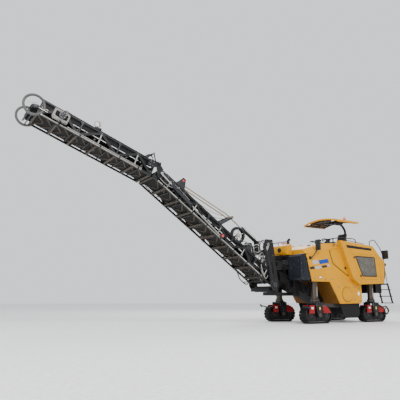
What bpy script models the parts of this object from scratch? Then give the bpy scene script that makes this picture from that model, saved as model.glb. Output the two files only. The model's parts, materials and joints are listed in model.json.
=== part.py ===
"""Cold planer milling machine on four steered tracks, with a front loading conveyor in two sections.

X points forward, Y to the machine's left and Z up.  The design is drawn from a datum on the
ground midway between the axles, and a root empty then moves it so that the origin lies at the
centre of the object's base.  Sizes are in metres and angles in degrees.
"""

import math

import bmesh
import bpy
import numpy as np
from mathutils import Matrix, Vector

# ---- driving dimensions ------------------------------------------------------------------
GAP = 0.0003              # between touching pieces
RUN = 0.006               # running clearance of moving sheet metal
PIN_PLAY = 0.0005         # radial play of a pin in its plate

WHEELBASE = 2.80
GAUGE = 1.79
TRACK_LENGTH = 1.26
TRACK_HEIGHT = 0.56
TRACK_WIDTH = 0.30
SHOE_COUNT = 28
GROUSER = 0.028
BELT_OF_TRACK = 0.045
LEG_RADIUS = 0.11
LEG_PLAY = 0.0008
LEG_TOP = 1.84
LEG_RAISE = 0.12

BODY_HALF = 1.08          # outer face of the side panels
PANEL = 0.02
BOX_HALF = BODY_HALF + 0.17          # outer face of the rear side boxes
FRAME_FLOOR = 1.49
FRAME_THICK = 0.11
BEAM_TOP = 1.92
BEAM_HALF = 0.18
SLEW_X = 2.52
NOSE_X = 2.08
TOW_FACE = -2.05          # rear face of the tow bracket
NOSE_TOP = 2.27
STATION_FLOOR = 2.25
CANOPY_Z = 3.56
CANOPY_LENGTH = 1.12
CANOPY_HALF = 0.86

DRUM_X = 0.02
DRUM_Z = 0.94
DRUM_RADIUS = 0.42
DRUM_HALF = 0.62
CHAMBER_HALF = 0.66
HOUSING_SKIN = 0.03
HOUSING_LOW = 0.64
INTAKE_HALF = 0.38

FOOT = Vector((2.85, 0.0, 1.25))     # luffing axis of the conveyor
LOWER_SLOPE = 35.0
UPPER_SLOPE = 20.2
LOWER_LENGTH = 5.40
UPPER_LENGTH = 3.66
CONVEYOR_HALF = 0.50
SIDE_THICK = 0.045
LOWER_TOP = 0.306
LOWER_LOW = -0.08
UPPER_DEPTH = 0.45
HINGE_ABOVE = 0.06
BAY = 0.52
BELT_HALF = 0.39
BELT_THICK = 0.02
BELT_DEPTH = 0.15         # carrying run below the top chord
YOKE_INNER = 0.54
YOKE_PLATE = 0.04
HOOP_RADIUS = 0.27
FOLD_LEVER = 0.30

COLOURS = {
    "yellow": ((0.62, 0.33, 0.02, 1.0), 0.35, 0.0),
    "shaded_yellow": ((0.45, 0.25, 0.03, 1.0), 0.5, 0.0),
    "graphite": ((0.035, 0.038, 0.045, 1.0), 0.45, 0.0),
    "black": ((0.015, 0.015, 0.016, 1.0), 0.5, 0.0),
    "red": ((0.42, 0.01, 0.02, 1.0), 0.4, 0.0),
    "steel": ((0.45, 0.43, 0.40, 1.0), 0.35, 1.0),
    "grey": ((0.16, 0.17, 0.18, 1.0), 0.45, 0.0),
    "belt": ((0.02, 0.02, 0.02, 1.0), 0.85, 0.0),
    "tread": ((0.02, 0.02, 0.022, 1.0), 0.6, 0.3),
    "engine": ((0.12, 0.12, 0.12, 1.0), 0.6, 0.5),
    "seat": ((0.03, 0.03, 0.03, 1.0), 0.8, 0.0),
}

SIDES = {"left": 1, "right": -1}
ENDS = {"front": 1, "rear": -1}
XZ = Matrix.Rotation(math.radians(90), 4, "X")
empties = {}
parts = None
cutters = None


# ---- tools ----------------------------------------------------------------------------------
def clear_scene():
    for thing in list(bpy.data.objects):
        bpy.data.objects.remove(thing, do_unlink=True)


def new_collection(name, hidden=False):
    made = bpy.data.collections.new(name)
    bpy.context.scene.collection.children.link(made)
    made.hide_render = hidden
    return made


def paint(colour):
    found = bpy.data.materials.get(colour)
    if found:
        return found
    made = bpy.data.materials.new(colour)
    made.use_nodes = True
    shader = made.node_tree.nodes["Principled BSDF"]
    base, roughness, metallic = COLOURS[colour]
    shader.inputs["Base Color"].default_value = base
    shader.inputs["Roughness"].default_value = roughness
    shader.inputs["Metallic"].default_value = metallic
    return made


def pivot(name, place, parent):
    empty = bpy.data.objects.new(name + "_axis", None)
    empty.empty_display_size = 0.2
    parts.objects.link(empty)
    if parent:
        empty.parent = empties[parent]
        empty.location = Vector(place) - world_of(parent)
    empties[name] = empty
    empty["datum"] = list(place)


def world_of(body):
    return Vector(empties[body]["datum"])


def object_of(bm, name="piece"):
    bmesh.ops.recalc_face_normals(bm, faces=bm.faces)
    mesh = bpy.data.meshes.new(name)
    bm.to_mesh(mesh)
    bm.free()
    made = bpy.data.objects.new(name, mesh)
    cutters.objects.link(made)
    return made


def block(low, high):
    bm = bmesh.new()
    size = [h - l for l, h in zip(low, high)]
    middle = [(h + l) / 2 for l, h in zip(low, high)]
    place = Matrix.Translation(middle) @ Matrix.Diagonal((*size, 1.0))
    bmesh.ops.create_cube(bm, size=1.0, matrix=place)
    return object_of(bm)


def mirrored_block(side, low, high):
    """A block whose y limits are given for the left side."""
    ends = sorted((side * low[1], side * high[1]))
    return block((low[0], ends[0], low[2]), (high[0], ends[1], high[2]))


def rod(start, end, radius, segments=16, radius_end=None):
    start = Vector(start)
    end = Vector(end)
    along = end - start
    place = Matrix.Translation((start + end) / 2) @ along.to_track_quat("Z", "Y").to_matrix().to_4x4()
    bm = bmesh.new()
    last = radius if radius_end is None else radius_end
    bmesh.ops.create_cone(bm, cap_ends=True, segments=segments, radius1=radius, radius2=last,
                          depth=along.length, matrix=place)
    return object_of(bm)


def bar(start, end, width, height):
    """A straight square bar between two points; height lies in the vertical plane."""
    start = Vector(start)
    end = Vector(end)
    along = end - start
    turn = along.to_track_quat("X", "Z").to_matrix().to_4x4()
    place = Matrix.Translation((start + end) / 2) @ turn @ Matrix.Diagonal((along.length, width, height, 1.0))
    bm = bmesh.new()
    bmesh.ops.create_cube(bm, size=1.0, matrix=place)
    return object_of(bm)


def mesh_of(curve_object, place):
    """The curve's solid as a mesh, with its caps welded, moved by place."""
    bpy.context.view_layer.update()
    seen = curve_object.evaluated_get(bpy.context.evaluated_depsgraph_get())
    mesh = bpy.data.meshes.new_from_object(seen)
    bm = bmesh.new()
    bm.from_mesh(mesh)
    bpy.data.meshes.remove(mesh)
    bpy.data.objects.remove(curve_object, do_unlink=True)
    bmesh.ops.remove_doubles(bm, verts=bm.verts, dist=0.00005)
    bm.transform(place)
    return object_of(bm)


def slab(outlines, y_low, y_high, place=None):
    """A flat piece in the XZ plane from y_low to y_high; outlines after the first are holes."""
    curve = bpy.data.curves.new("slab", "CURVE")
    curve.dimensions = "2D"
    curve.fill_mode = "BOTH"
    curve.extrude = (y_high - y_low) / 2
    for outline in outlines:
        spline = curve.splines.new("POLY")
        spline.points.add(len(outline) - 1)
        for point, (x, z) in zip(spline.points, outline):
            point.co = (x, z, 0.0, 1.0)
        spline.use_cyclic_u = True
    made = bpy.data.objects.new("slab", curve)
    cutters.objects.link(made)
    shift = Matrix.Translation((0, (y_low + y_high) / 2, 0)) @ XZ
    return mesh_of(made, (place or Matrix.Identity(4)) @ shift)


def side_slab(side, outlines, y_low, y_high, place=None):
    ends = sorted((side * y_low, side * y_high))
    return slab(outlines, ends[0], ends[1], place)


def tube(points, radius, bend=0.0, resolution=2, cyclic=False):
    """A round tube through the points, in straight runs."""
    curve = bpy.data.curves.new("tube", "CURVE")
    curve.dimensions = "3D"
    curve.bevel_depth = radius
    curve.bevel_resolution = resolution
    curve.use_fill_caps = True
    spline = curve.splines.new("POLY")
    rounded = round_corners(points, bend) if bend else points
    spline.points.add(len(rounded) - 1)
    for point, place in zip(spline.points, rounded):
        point.co = (*place, 1.0)
    spline.use_cyclic_u = cyclic
    made = bpy.data.objects.new("tube", curve)
    cutters.objects.link(made)
    return mesh_of(made, Matrix.Identity(4))


def round_corners(points, radius, steps=4):
    """The path with each inner corner replaced by a short curve."""
    path = [Vector(p) for p in points]
    result = [path[0]]
    for before, corner, after in zip(path, path[1:], path[2:]):
        reach = min(radius, (before - corner).length / 2, (after - corner).length / 2)
        start = corner + (before - corner).normalized() * reach
        end = corner + (after - corner).normalized() * reach
        for step in range(steps + 1):
            t = step / steps
            result.append(start.lerp(corner, t).lerp(corner.lerp(end, t), t))
    result.append(path[-1])
    return result


def circle(x, z, radius, count=24, start=0.0, sweep=360.0):
    """Points on an arc, without the end point when it is a full circle."""
    last = count if sweep >= 360.0 else count - 1
    angles = [math.radians(start + sweep * i / last) for i in range(count)]
    return [(x + radius * math.cos(a), z + radius * math.sin(a)) for a in angles]


def joined(objects):
    """One object that holds every mesh, not yet united."""
    bm = bmesh.new()
    for piece in objects:
        bm.from_mesh(piece.data)
        bpy.data.objects.remove(piece, do_unlink=True)
    return object_of(bm, "joined")


def combined(base, others, operation):
    tool = joined(others)
    modifier = base.modifiers.new("combine", "BOOLEAN")
    modifier.operation = operation
    modifier.solver = "EXACT"
    modifier.use_self = operation == "UNION"
    modifier.object = tool
    bpy.context.view_layer.update()
    seen = base.evaluated_get(bpy.context.evaluated_depsgraph_get())
    mesh = bpy.data.meshes.new_from_object(seen)
    base.modifiers.clear()
    base.data = mesh
    bpy.data.objects.remove(tool, do_unlink=True)
    tidy(mesh)
    return base


def tidy(mesh):
    bm = bmesh.new()
    bm.from_mesh(mesh)
    bmesh.ops.remove_doubles(bm, verts=bm.verts, dist=0.00002)
    bmesh.ops.dissolve_degenerate(bm, edges=bm.edges, dist=0.00002)
    bm.to_mesh(mesh)
    bm.free()


def united(pieces):
    return combined(pieces[0], pieces[1:], "UNION")


def cut(base, tools):
    for tool in tools:
        combined(base, [tool], "DIFFERENCE")
    return base


def bevelled(piece, width, segments=2, angle=40):
    modifier = piece.modifiers.new("edge", "BEVEL")
    modifier.width = width
    modifier.segments = segments
    modifier.limit_method = "ANGLE"
    modifier.angle_limit = math.radians(angle)
    return piece


def node(name, body, colour, piece, smooth=False):
    """Names a finished piece, gives it its material and puts its origin on its body's axis."""
    piece.name = name
    piece.data.name = name
    piece.data.materials.clear()
    piece.data.materials.append(paint(colour))
    piece.data.transform(Matrix.Translation(-world_of(body)))
    cutters.objects.unlink(piece)
    parts.objects.link(piece)
    piece.parent = empties[body]
    if smooth:
        piece.data.shade_smooth()
        piece.data.set_sharp_from_angle(angle=math.radians(35))
    return piece


# ---- conveyor frames of reference -----------------------------------------------------------
def tilted(origin, slope):
    return Matrix.Translation(origin) @ Matrix.Rotation(math.radians(-slope), 4, "Y")


def lower_place():
    return tilted(FOOT, LOWER_SLOPE)


def fold_hinge():
    return lower_place() @ Vector((LOWER_LENGTH + 0.065, 0, LOWER_TOP + HINGE_ABOVE))


def upper_place():
    return tilted(fold_hinge(), UPPER_SLOPE)


def lower_at(s, t, y=0.0):
    return lower_place() @ Vector((s, y, t))


def upper_at(s, t, y=0.0):
    return upper_place() @ Vector((s, y, t))


ROCKER_FOOT = (2.73, LOWER_TOP + 0.042)
ROCKER_TIP = (2.35, 1.00)
STAY_LUG = (4.55, 0.62)
LUFF_BASE = Vector((3.10, 0.0, 2.65))
LUFF_BORE_END = 0.80
STAY_Y = 0.10
ROPE_START = 0.0695       # where the rope clears the corner of the rocker arm
FOLD_BASE = (LOWER_LENGTH - 1.45, 0.05)


def fold_pin():
    """The rod's pin on the upper section's lever, in world coordinates."""
    angle = math.radians(LOWER_SLOPE - 135)
    return fold_hinge() + FOLD_LEVER * Vector((math.cos(angle), 0, math.sin(angle)))


# ---- bodies ---------------------------------------------------------------------------------
def leg_place(end, side):
    return Vector((ENDS[end] * WHEELBASE / 2, SIDES[side] * GAUGE / 2, 0.0))


def make_axes():
    pivot("machine", (0, 0, 0), None)
    pivot("chassis", (0, 0, 0), "machine")
    for end in ENDS:
        for side in SIDES:
            place = leg_place(end, side)
            pivot(f"leg_{end}_{side}", place, "chassis")
            pivot(f"track_{end}_{side}", place, f"leg_{end}_{side}")
    pivot("drum", (DRUM_X, 0, DRUM_Z), "chassis")
    pivot("scraper", SCRAPER_AXIS, "chassis")
    for side, sign in SIDES.items():
        pivot(f"skid_{side}", (0, sign * SKID_Y, 0), "chassis")
        pivot(f"flap_{side}", (FLAP_TOP[0][0], sign * BODY_HALF, FLAP_TOP[0][1]), "chassis")
        pivot(f"door_{side}", (DOOR_HINGE_X, sign * DOOR_HINGE_Y, DOOR_LOW), "chassis")
    pivot("slew", (SLEW_X, 0, 0), "chassis")
    pivot("lower", FOOT, "slew")
    pivot("upper", fold_hinge(), "lower")
    pivot("luff_barrel", LUFF_BASE, "slew")
    pivot("luff_rod", LUFF_BASE, "luff_barrel")
    pivot("fold_barrel", lower_at(*FOLD_BASE), "lower")
    pivot("fold_rod", lower_at(*FOLD_BASE), "fold_barrel")


# ---- outlines of the bodywork ---------------------------------------------------------------
PANEL_OUTLINE = [
    (1.89, 2.25), (1.67, 1.37), (0.85, 1.37), (0.40, HOUSING_LOW), (-0.72, HOUSING_LOW + 0.02),
    (-0.72, 2.60), (0.10, 2.64), (0.80, 2.50),
]
FLAP_TOP = [(0.80, 2.44), (0.44, 2.515)]
FLAP_OUTLINE = [FLAP_TOP[0], (0.66, 2.00), (-0.04, 1.60), (-0.10, 1.63), (0.26, 2.34), FLAP_TOP[1]]
BOX_OUTLINE = [
    (0.42, 2.80), (-0.15, 1.50), (-0.45, 1.31), (-1.76, 1.37), (-1.85, 2.16), (-1.62, 2.34),
    (-1.26, 2.69),
]
DOOR_OUTLINE = [(-0.14, 2.36), (-0.55, 1.50), (-1.60, 1.50), (-1.60, 2.16), (-1.40, 2.36)]
DOOR_HINGE_X = -1.61
KNUCKLE = 0.012
DOOR_HINGE_Y = BOX_HALF + KNUCKLE + GAP
DOOR_LOW = 1.50
REAR_OUTLINE = [
    (0.0, 2.74), (0.0, 1.61), (-0.45, 1.61), (-1.74, 1.42), (-1.80, 2.14), (-1.58, 2.32), (-1.24, 2.66),
]
SCRAPER_AXIS = (-0.685, 0.0, 1.36)
SKID_Y = BODY_HALF - PANEL - 0.005 - HOUSING_SKIN - GAP - 0.015
HOUSING_HALF = BODY_HALF - PANEL - 0.005


def inset(outline, distance):
    """The outline moved inwards by the same distance along every edge."""
    area = sum(a[0] * b[1] - b[0] * a[1] for a, b in zip(outline, outline[1:] + outline[:1]))
    turn = 1 if area > 0 else -1
    points = [Vector(p) for p in outline]
    result = []
    for i, here in enumerate(points):
        before = (here - points[i - 1]).normalized()
        after = (points[(i + 1) % len(points)] - here).normalized()
        normal_a = Vector((-before.y, before.x)) * turn
        normal_b = Vector((-after.y, after.x)) * turn
        reach = distance / (1 + normal_a.dot(normal_b))
        moved = here + (normal_a + normal_b) * reach
        result.append((moved.x, moved.y))
    return result


# ---- chassis --------------------------------------------------------------------------------
def main_frame():
    leg_y = GAUGE / 2
    pieces = [block((-1.98, -0.62, FRAME_FLOOR), (1.60, 0.62, FRAME_FLOOR + FRAME_THICK))]
    for sign in ENDS.values():
        x = sign * WHEELBASE / 2
        pieces.append(block((x - BEAM_HALF, -1.045, 1.42), (x + BEAM_HALF, 1.045, BEAM_TOP)))
    pieces.append(block((-1.99, -0.94, 1.02), (-1.66, 0.94, 1.415)))
    pieces.append(block((-1.97, -0.50, 1.36), (-1.68, 0.50, FRAME_FLOOR + 0.02)))
    pieces.append(block((TOW_FACE, -0.25, 1.08), (-1.97, 0.25, 1.36)))
    pieces.append(block((1.50, -0.485, 1.44), (NOSE_X, 0.485, NOSE_TOP)))
    pieces.append(block((1.98, -0.16, 2.12), (SLEW_X + 0.12, 0.16, 2.24)))
    for sign in SIDES.values():
        pieces.append(mirrored_block(sign, (1.70, 0.41, 0.92), (1.94, 0.47, 1.50)))
    pieces.append(block((1.72, -0.46, 0.90), (1.92, 0.46, 1.01)))
    pieces.append(block((1.80, -0.26, 0.905), (SLEW_X + 0.16, 0.26, 1.015)))
    frame = united(pieces)
    bores = []
    for end in ENDS.values():
        for side in SIDES.values():
            x = end * WHEELBASE / 2
            bores.append(rod((x, side * leg_y, 1.2), (x, side * leg_y, 2.2), LEG_RADIUS + LEG_PLAY, 32))
    half = INTAKE_HALF + 0.015
    bores.append(block((1.60, -half, 1.02), (NOSE_X + 0.2, half, 1.78)))
    node("main_frame", "chassis", "black", cut(frame, bores), smooth=True)


def drum_housing():
    top = FRAME_FLOOR - GAP
    outline = [(0.42, HOUSING_LOW), (0.94, top), (-0.70, top), (-0.70, 1.385), (-0.66, 1.385), (-0.66, HOUSING_LOW)]
    shell = slab([outline], -HOUSING_HALF, HOUSING_HALF)
    inner = [(0.02, 0.30), (0.186, 0.30), (0.89, 1.485 - HOUSING_SKIN), (-0.63, 1.485 - HOUSING_SKIN),
             (-0.63, 0.30)]
    bulkhead = CHAMBER_HALF + HOUSING_SKIN
    tools = [slab([[(0.10, 0.30), (0.20, 0.30), (0.86, 1.37), (0.86, 1.455), (-0.60, 1.455), (-0.60, 1.345),
                    (-0.90, 1.345), (-0.90, 0.30)]], -CHAMBER_HALF, CHAMBER_HALF)]
    for sign in SIDES.values():
        tools.append(side_slab(sign, [inner], bulkhead, HOUSING_HALF - HOUSING_SKIN))
    shell = cut(shell, tools)
    intake = block((0.30, -INTAKE_HALF - GAP, 0.70), (0.80, INTAKE_HALF + GAP, 1.12))
    node("drum_housing", "chassis", "shaded_yellow", cut(shell, [intake]))


def intake_conveyor():
    """Closed trough that carries the millings from the drum to the front."""
    tail = (0.50, 0.64)
    head = (2.44, 1.40)
    trough = slab([[tail, head, (2.47, 1.72), (1.62, 1.395), (0.52, 0.95)]], -INTAKE_HALF, INTAKE_HALF)
    clear = slab([[(2.30, 1.39), (2.52, 1.47), (2.52, 1.62), (2.30, 1.60)]], -INTAKE_HALF + 0.02, INTAKE_HALF - 0.02)
    node("intake_conveyor", "chassis", "black", cut(trough, [clear]))


def milling_drum():
    pieces = [rod((DRUM_X, -DRUM_HALF, DRUM_Z), (DRUM_X, DRUM_HALF, DRUM_Z), DRUM_RADIUS, 40)]
    reach = CHAMBER_HALF - GAP
    pieces.append(rod((DRUM_X, -reach, DRUM_Z), (DRUM_X, reach, DRUM_Z), 0.16, 24))
    node("milling_drum", "drum", "steel", united(pieces), smooth=True)


def scraper():
    x, _, z = SCRAPER_AXIS
    half = CHAMBER_HALF - RUN
    plate = block((x - 0.012, -half, 0.30), (x + 0.012, half, z - 0.01))
    knuckle = rod((x, -half, z), (x, half, z), 0.025 - GAP, 16)
    edge = block((x - 0.022, -half, 0.26), (x + 0.022, half, 0.38))
    node("scraper", "scraper", "black", united([plate, knuckle, edge]))


def side_skids():
    outline = [(-0.62, 0.30), (-0.50, 0.16), (0.10, 0.16), (0.22, 0.30), (0.34, 0.62), (0.34, 0.70),
               (0.10, 0.70), (0.10, 1.05), (-0.45, 1.05), (-0.45, 0.70), (-0.62, 0.70)]
    for side, sign in SIDES.items():
        plate = side_slab(sign, [outline], SKID_Y - 0.015, SKID_Y + 0.015)
        node(f"side_skid_{side}", f"skid_{side}", "black", plate)


def side_panels():
    for side, sign in SIDES.items():
        hole = inset(FLAP_OUTLINE, -RUN)
        panel = side_slab(sign, [PANEL_OUTLINE, hole], BODY_HALF - PANEL, BODY_HALF)
        flap = side_slab(sign, [FLAP_OUTLINE], BODY_HALF - PANEL, BODY_HALF)
        node(f"side_panel_{side}", "chassis", "yellow", panel)
        node(f"service_flap_{side}", f"flap_{side}", "yellow", flap)


def hood_loft(stations, edge, low):
    """Closed body through cross sections given as front-back place, rim height and crown rise."""
    bm = bmesh.new()
    rows = []
    for x, rim, rise in stations:
        half = [(edge, low), (edge, rim - 0.02), (edge - 0.02, rim + 0.012), (edge - 0.19, rim + rise),
                (0.0, rim + rise + 0.015)]
        ring = half + [(-y, z) for y, z in reversed(half[:-1])]
        rows.append([bm.verts.new((x, y, z)) for y, z in ring])
    for first, second in zip(rows, rows[1:]):
        for i, corner in enumerate(first):
            after = (i + 1) % len(first)
            bm.faces.new((corner, first[after], second[after], second[i]))
    bm.faces.new(rows[0])
    bm.faces.new(rows[-1])
    return object_of(bm, "hood")


def hood():
    """Front hood: an open-bottomed shell lofted from its front edge to the operator's station."""
    edge = BODY_HALF - PANEL - GAP
    skin = 0.02
    stations = [(1.86, 2.24, 0.20), (0.84, 2.49, 0.21), (0.012, 2.63, 0.13)]
    inner = [(x, rim - skin, rise) for x, rim, rise in stations]
    inner[0] = (stations[0][0] - skin, inner[0][1], inner[0][2])
    inner[-1] = (stations[-1][0] + skin, inner[-1][1], inner[-1][2])
    hollow = hood_loft(inner, edge - skin, 1.2)
    low = block((1.69, -1.20, 1.40), (2.2, 1.20, 2.285))
    beam = block((WHEELBASE / 2 - BEAM_HALF - 0.01, -1.2, 1.3), (2.2, 1.2, BEAM_TOP + 0.012))
    shell = cut(hood_loft(stations, edge, FRAME_FLOOR + FRAME_THICK + GAP), [hollow])
    node("hood", "chassis", "yellow", cut(shell, [united([low, beam])]))


def engine():
    pieces = [block((0.22, -0.36, FRAME_FLOOR + FRAME_THICK + GAP), (1.16, 0.36, 2.12))]
    pieces.append(block((0.40, -0.52, 1.75), (1.02, 0.52, 2.35)))
    node("engine", "chassis", "engine", united(pieces))


def rear_body():
    """Yellow rear housing with the operator's well in its top and the cooling bay below."""
    half = BODY_HALF - PANEL - GAP
    body = slab([REAR_OUTLINE], -half, half)
    well = block((-1.34, -0.80, STATION_FLOOR), (-0.06, 0.80, 3.2))
    bay = slab([[(-0.04, 1.3), (-0.04, 2.20), (-1.50, 2.20), (-1.70, 2.05), (-1.70, 1.3)]], -half + 0.03, half - 0.03)
    beam_x = WHEELBASE / 2
    beam = block((-beam_x - BEAM_HALF - 0.006, -1.2, 1.2), (-beam_x + BEAM_HALF + 0.006, 1.2, BEAM_TOP + 0.012))
    floor = block((-2.2, -0.626, 1.2), (-1.5, 0.626, FRAME_FLOOR + FRAME_THICK + GAP))
    node("rear_body", "chassis", "yellow", cut(body, [well, bay, beam, floor]))


def rear_boxes():
    """Side boxes that stand proud of the panels, each with a hinged grille door."""
    inner = BODY_HALF + GAP
    for side, sign in SIDES.items():
        box = side_slab(sign, [BOX_OUTLINE], inner, BOX_HALF)
        box = cut(box, [side_slab(sign, [inset(BOX_OUTLINE, 0.02)], inner - 0.05, BOX_HALF - PANEL)])
        hole = side_slab(sign, [inset(DOOR_OUTLINE, -RUN)], BOX_HALF - 0.05, BOX_HALF + 0.05)
        box = cut(box, [hole])
        node(f"rear_box_{side}", "chassis", "yellow", box)
        door = [side_slab(sign, [DOOR_OUTLINE], BOX_HALF - PANEL, BOX_HALF)]
        for low in (1.58, 1.98):
            y = sign * DOOR_HINGE_Y
            door.append(rod((DOOR_HINGE_X, y, low), (DOOR_HINGE_X, y, low + 0.09), KNUCKLE, 16))
            door.append(mirrored_block(sign, (DOOR_HINGE_X, BOX_HALF + GAP, low + 0.005),
                                       (DOOR_HINGE_X + 0.06, BOX_HALF + 0.008, low + 0.085)))
            door.append(mirrored_block(sign, (DOOR_HINGE_X + 0.02, BOX_HALF - 0.01, low + 0.01),
                                       (DOOR_HINGE_X + 0.055, BOX_HALF + 0.007, low + 0.08)))
        node(f"grille_door_{side}", f"door_{side}", "yellow", united(door))


def front_boxes():
    top = NOSE_TOP - 0.005
    outline = [(1.70, 1.46), (1.78, 1.40), (2.10, 1.40), (2.15, 1.46), (2.15, top - 0.08), (2.08, top), (1.92, top)]
    for side, sign in SIDES.items():
        box = side_slab(sign, [outline], 0.485 + GAP, BODY_HALF)
        node(f"front_box_{side}", "chassis", "graphite", bevelled(box, 0.018))


def front_cover():
    low = NOSE_TOP + GAP
    outline = [(1.875, low), (2.10, low), (2.13, 2.34), (2.09, 2.60), (1.93, 2.66), (1.875, 2.62)]
    cover = slab([outline], -0.72, 0.40)
    node("front_cover", "chassis", "yellow", bevelled(cover, 0.02))


def operator_seat():
    floor = STATION_FLOOR + GAP
    pedestal = block((-0.90, -0.16, floor), (-0.56, 0.16, 2.70))
    cushion = block((-0.98, -0.25, 2.68), (-0.48, 0.25, 2.82))
    back = bar((-0.93, 0, 2.76), (-1.13, 0, 3.30), 0.46, 0.09)
    node("operator_seat", "chassis", "seat", united([pedestal, cushion, back]))


def handrail():
    """Rail round the front of the station, standing on the floor."""
    top = 2.98
    floor = STATION_FLOOR + GAP
    run = [(-0.92, 0.77, floor), (-0.92, 0.77, top), (-0.10, 0.77, top), (-0.10, -0.77, top), (-0.92, -0.77, top),
           (-0.92, -0.77, floor)]
    rail = tube(run, 0.018, bend=0.10)
    posts = [rod((-0.10, y, floor), (-0.10, y, top), 0.016, 10) for y in (-0.45, 0.45)]
    desk = block((-0.22, -0.46, 2.62), (-0.085, 0.46, 2.86))
    node("handrail", "chassis", "black", united([rail, *posts, desk]), smooth=True)


def canopy():
    """Crowned roof panel on one post behind the seat."""
    crown = 0.13
    steps = 12
    ys = [CANOPY_HALF * (2 * i / steps - 1) for i in range(steps + 1)]
    under = [(y, CANOPY_Z + crown * (1 - (y / CANOPY_HALF) ** 2)) for y in ys]
    over = [(y, z + 0.06) for y, z in reversed(under)]
    rear = -1.06
    turn = Matrix.Rotation(math.radians(90), 4, "Z")
    panel = slab([under + over], 0.0, CANOPY_LENGTH)
    panel.data.transform(turn)
    panel.data.transform(Matrix.Translation((rear + CANOPY_LENGTH, 0, 0)))
    node("canopy", "chassis", "yellow", bevelled(panel, 0.015))
    head_half, z_top = under[steps // 2 + 1]
    post_x = -1.275
    stem = tube([(post_x, 0, STATION_FLOOR + 0.01), (post_x, 0, 3.42), (-1.08, 0, z_top - 0.055),
                 (-0.62, 0, z_top - 0.055)], 0.045, bend=0.1, resolution=3)
    head = block((-1.02, -head_half, z_top - 0.06), (-0.55, head_half, z_top - GAP))
    plate = block((-1.335, -0.12, STATION_FLOOR + GAP), (-1.17, 0.12, STATION_FLOOR + 0.03))
    node("canopy_post", "chassis", "black", united([stem, head, plate]), smooth=True)


def ladder():
    """Access steps at the rear left corner."""
    top = (-2.035, 1.38)
    low = (-2.27, 0.66)
    pieces = []
    for y in (0.72, 1.16):
        pieces.append(bar((top[0] - 0.02, y, top[1]), (low[0], y, low[1]), 0.035, 0.06))
    for share in (0.0, 0.34, 0.67):
        x = low[0] + (top[0] - low[0]) * share
        z = low[1] + (top[1] - low[1]) * share
        pieces.append(block((x - 0.10, 0.71, z - 0.012), (x + 0.10, 1.17, z + 0.012)))
    pieces.append(block((-2.03, 0.71, 1.28), (-1.99 - GAP, 0.90, 1.40)))
    pieces.append(block((-2.03, 0.71, 1.32), (-2.00, 1.17, 1.37)))
    node("ladder", "chassis", "black", united(pieces))


def mirrors():
    for side, sign in SIDES.items():
        base = (1.72, sign * (BODY_HALF + GAP), 2.14)
        arm = tube([base, (1.72, sign * 1.15, 2.14), (1.60, sign * 1.19, 2.28), (1.48, sign * 1.20, 2.42)], 0.018, 0.03)
        pad = mirrored_block(sign, (1.67, BODY_HALF + GAP, 2.09), (1.77, BODY_HALF + 0.02, 2.19))
        glass = mirrored_block(sign, (1.42, 1.11, 2.40), (1.48, 1.29, 2.76))
        node(f"mirror_{side}", "chassis", "black", united([glass, arm, pad]), smooth=True)
        seat = BOX_OUTLINE[-1][1] + 0.0052 + GAP
        hoop = [(-1.20, 1.16, seat), (-1.20, 1.16, 2.88), (-1.48, 1.16, 2.95), (-1.80, 1.16, 2.62), (-1.93, 1.16, 2.30),
                (-1.97, 1.16, 1.90), (-1.93, 1.16, 1.52), (-1.80, 1.16, 1.48)]
        hoop = [(x, sign * y, z) for x, y, z in hoop]
        face = mirrored_block(sign, (-2.00, 1.10, 2.26), (-1.94, 1.34, 2.58))
        rail = tube(hoop, 0.016, bend=0.08)
        pad = mirrored_block(sign, (-1.83, 1.13, 1.46), (-1.7752, 1.19, 1.50))
        node(f"rear_mirror_{side}", "chassis", "black", united([face, rail, pad]), smooth=True)


# ---- legs and tracks --------------------------------------------------------------------------
def track_outline(count):
    """Outer outline of the loop with a raised grouser on every shoe."""
    radius = TRACK_HEIGHT / 2 - GROUSER
    straight = TRACK_LENGTH - TRACK_HEIGHT
    around = 2 * straight + 2 * math.pi * radius
    pitch = around / count
    points = []
    for shoe in range(count):
        for share, lift in ((0.0, 0.0), (0.12, GROUSER), (0.42, GROUSER), (0.54, 0.0)):
            x, z, nx, nz = on_loop((shoe + share) * pitch, radius, straight)
            points.append((x + nx * lift, z + nz * lift + TRACK_HEIGHT / 2))
    return points


def on_loop(distance, radius, straight):
    """Place and outward normal at a distance along a stadium centred on the origin."""
    arc = math.pi * radius
    distance = distance % (2 * straight + 2 * arc)
    if distance < straight:
        return -straight / 2 + distance, -radius, 0.0, -1.0
    distance -= straight
    if distance < arc:
        a = distance / radius - math.pi / 2
        return straight / 2 + radius * math.cos(a), radius * math.sin(a), math.cos(a), math.sin(a)
    distance -= arc
    if distance < straight:
        return straight / 2 - distance, radius, 0.0, 1.0
    a = (distance - straight) / radius + math.pi / 2
    return -straight / 2 + radius * math.cos(a), radius * math.sin(a), math.cos(a), math.sin(a)


def stadium(radius, straight, z, count=12):
    """An outline of two half circles and two straights."""
    right = circle(straight / 2, z, radius, count, -90, 180)
    left = circle(-straight / 2, z, radius, count, 90, 180)
    return right + left


def tracks():
    radius = TRACK_HEIGHT / 2 - GROUSER
    straight = TRACK_LENGTH - TRACK_HEIGHT
    middle = TRACK_HEIGHT / 2
    half = TRACK_WIDTH / 2
    inner = stadium(radius - BELT_OF_TRACK, straight, middle)
    core = stadium(radius - BELT_OF_TRACK - GAP, straight, middle)
    crown = TRACK_HEIGHT + 0.08
    for end in ENDS:
        for side in SIDES:
            name = f"{end}_{side}"
            body = f"track_{name}"
            place = Matrix.Translation(leg_place(end, side))
            loop = slab([track_outline(SHOE_COUNT), inner], -half, half, place)
            node(f"track_{name}", body, "tread", loop)
            node(f"track_frame_{name}", body, "black", track_frame(core, crown, half, place))
            node(f"track_guard_{name}", body, "red", track_guard(half, place))
            node(f"leg_{name}", f"leg_{name}", "steel", leg(crown, leg_place(end, side)), smooth=True)


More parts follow.
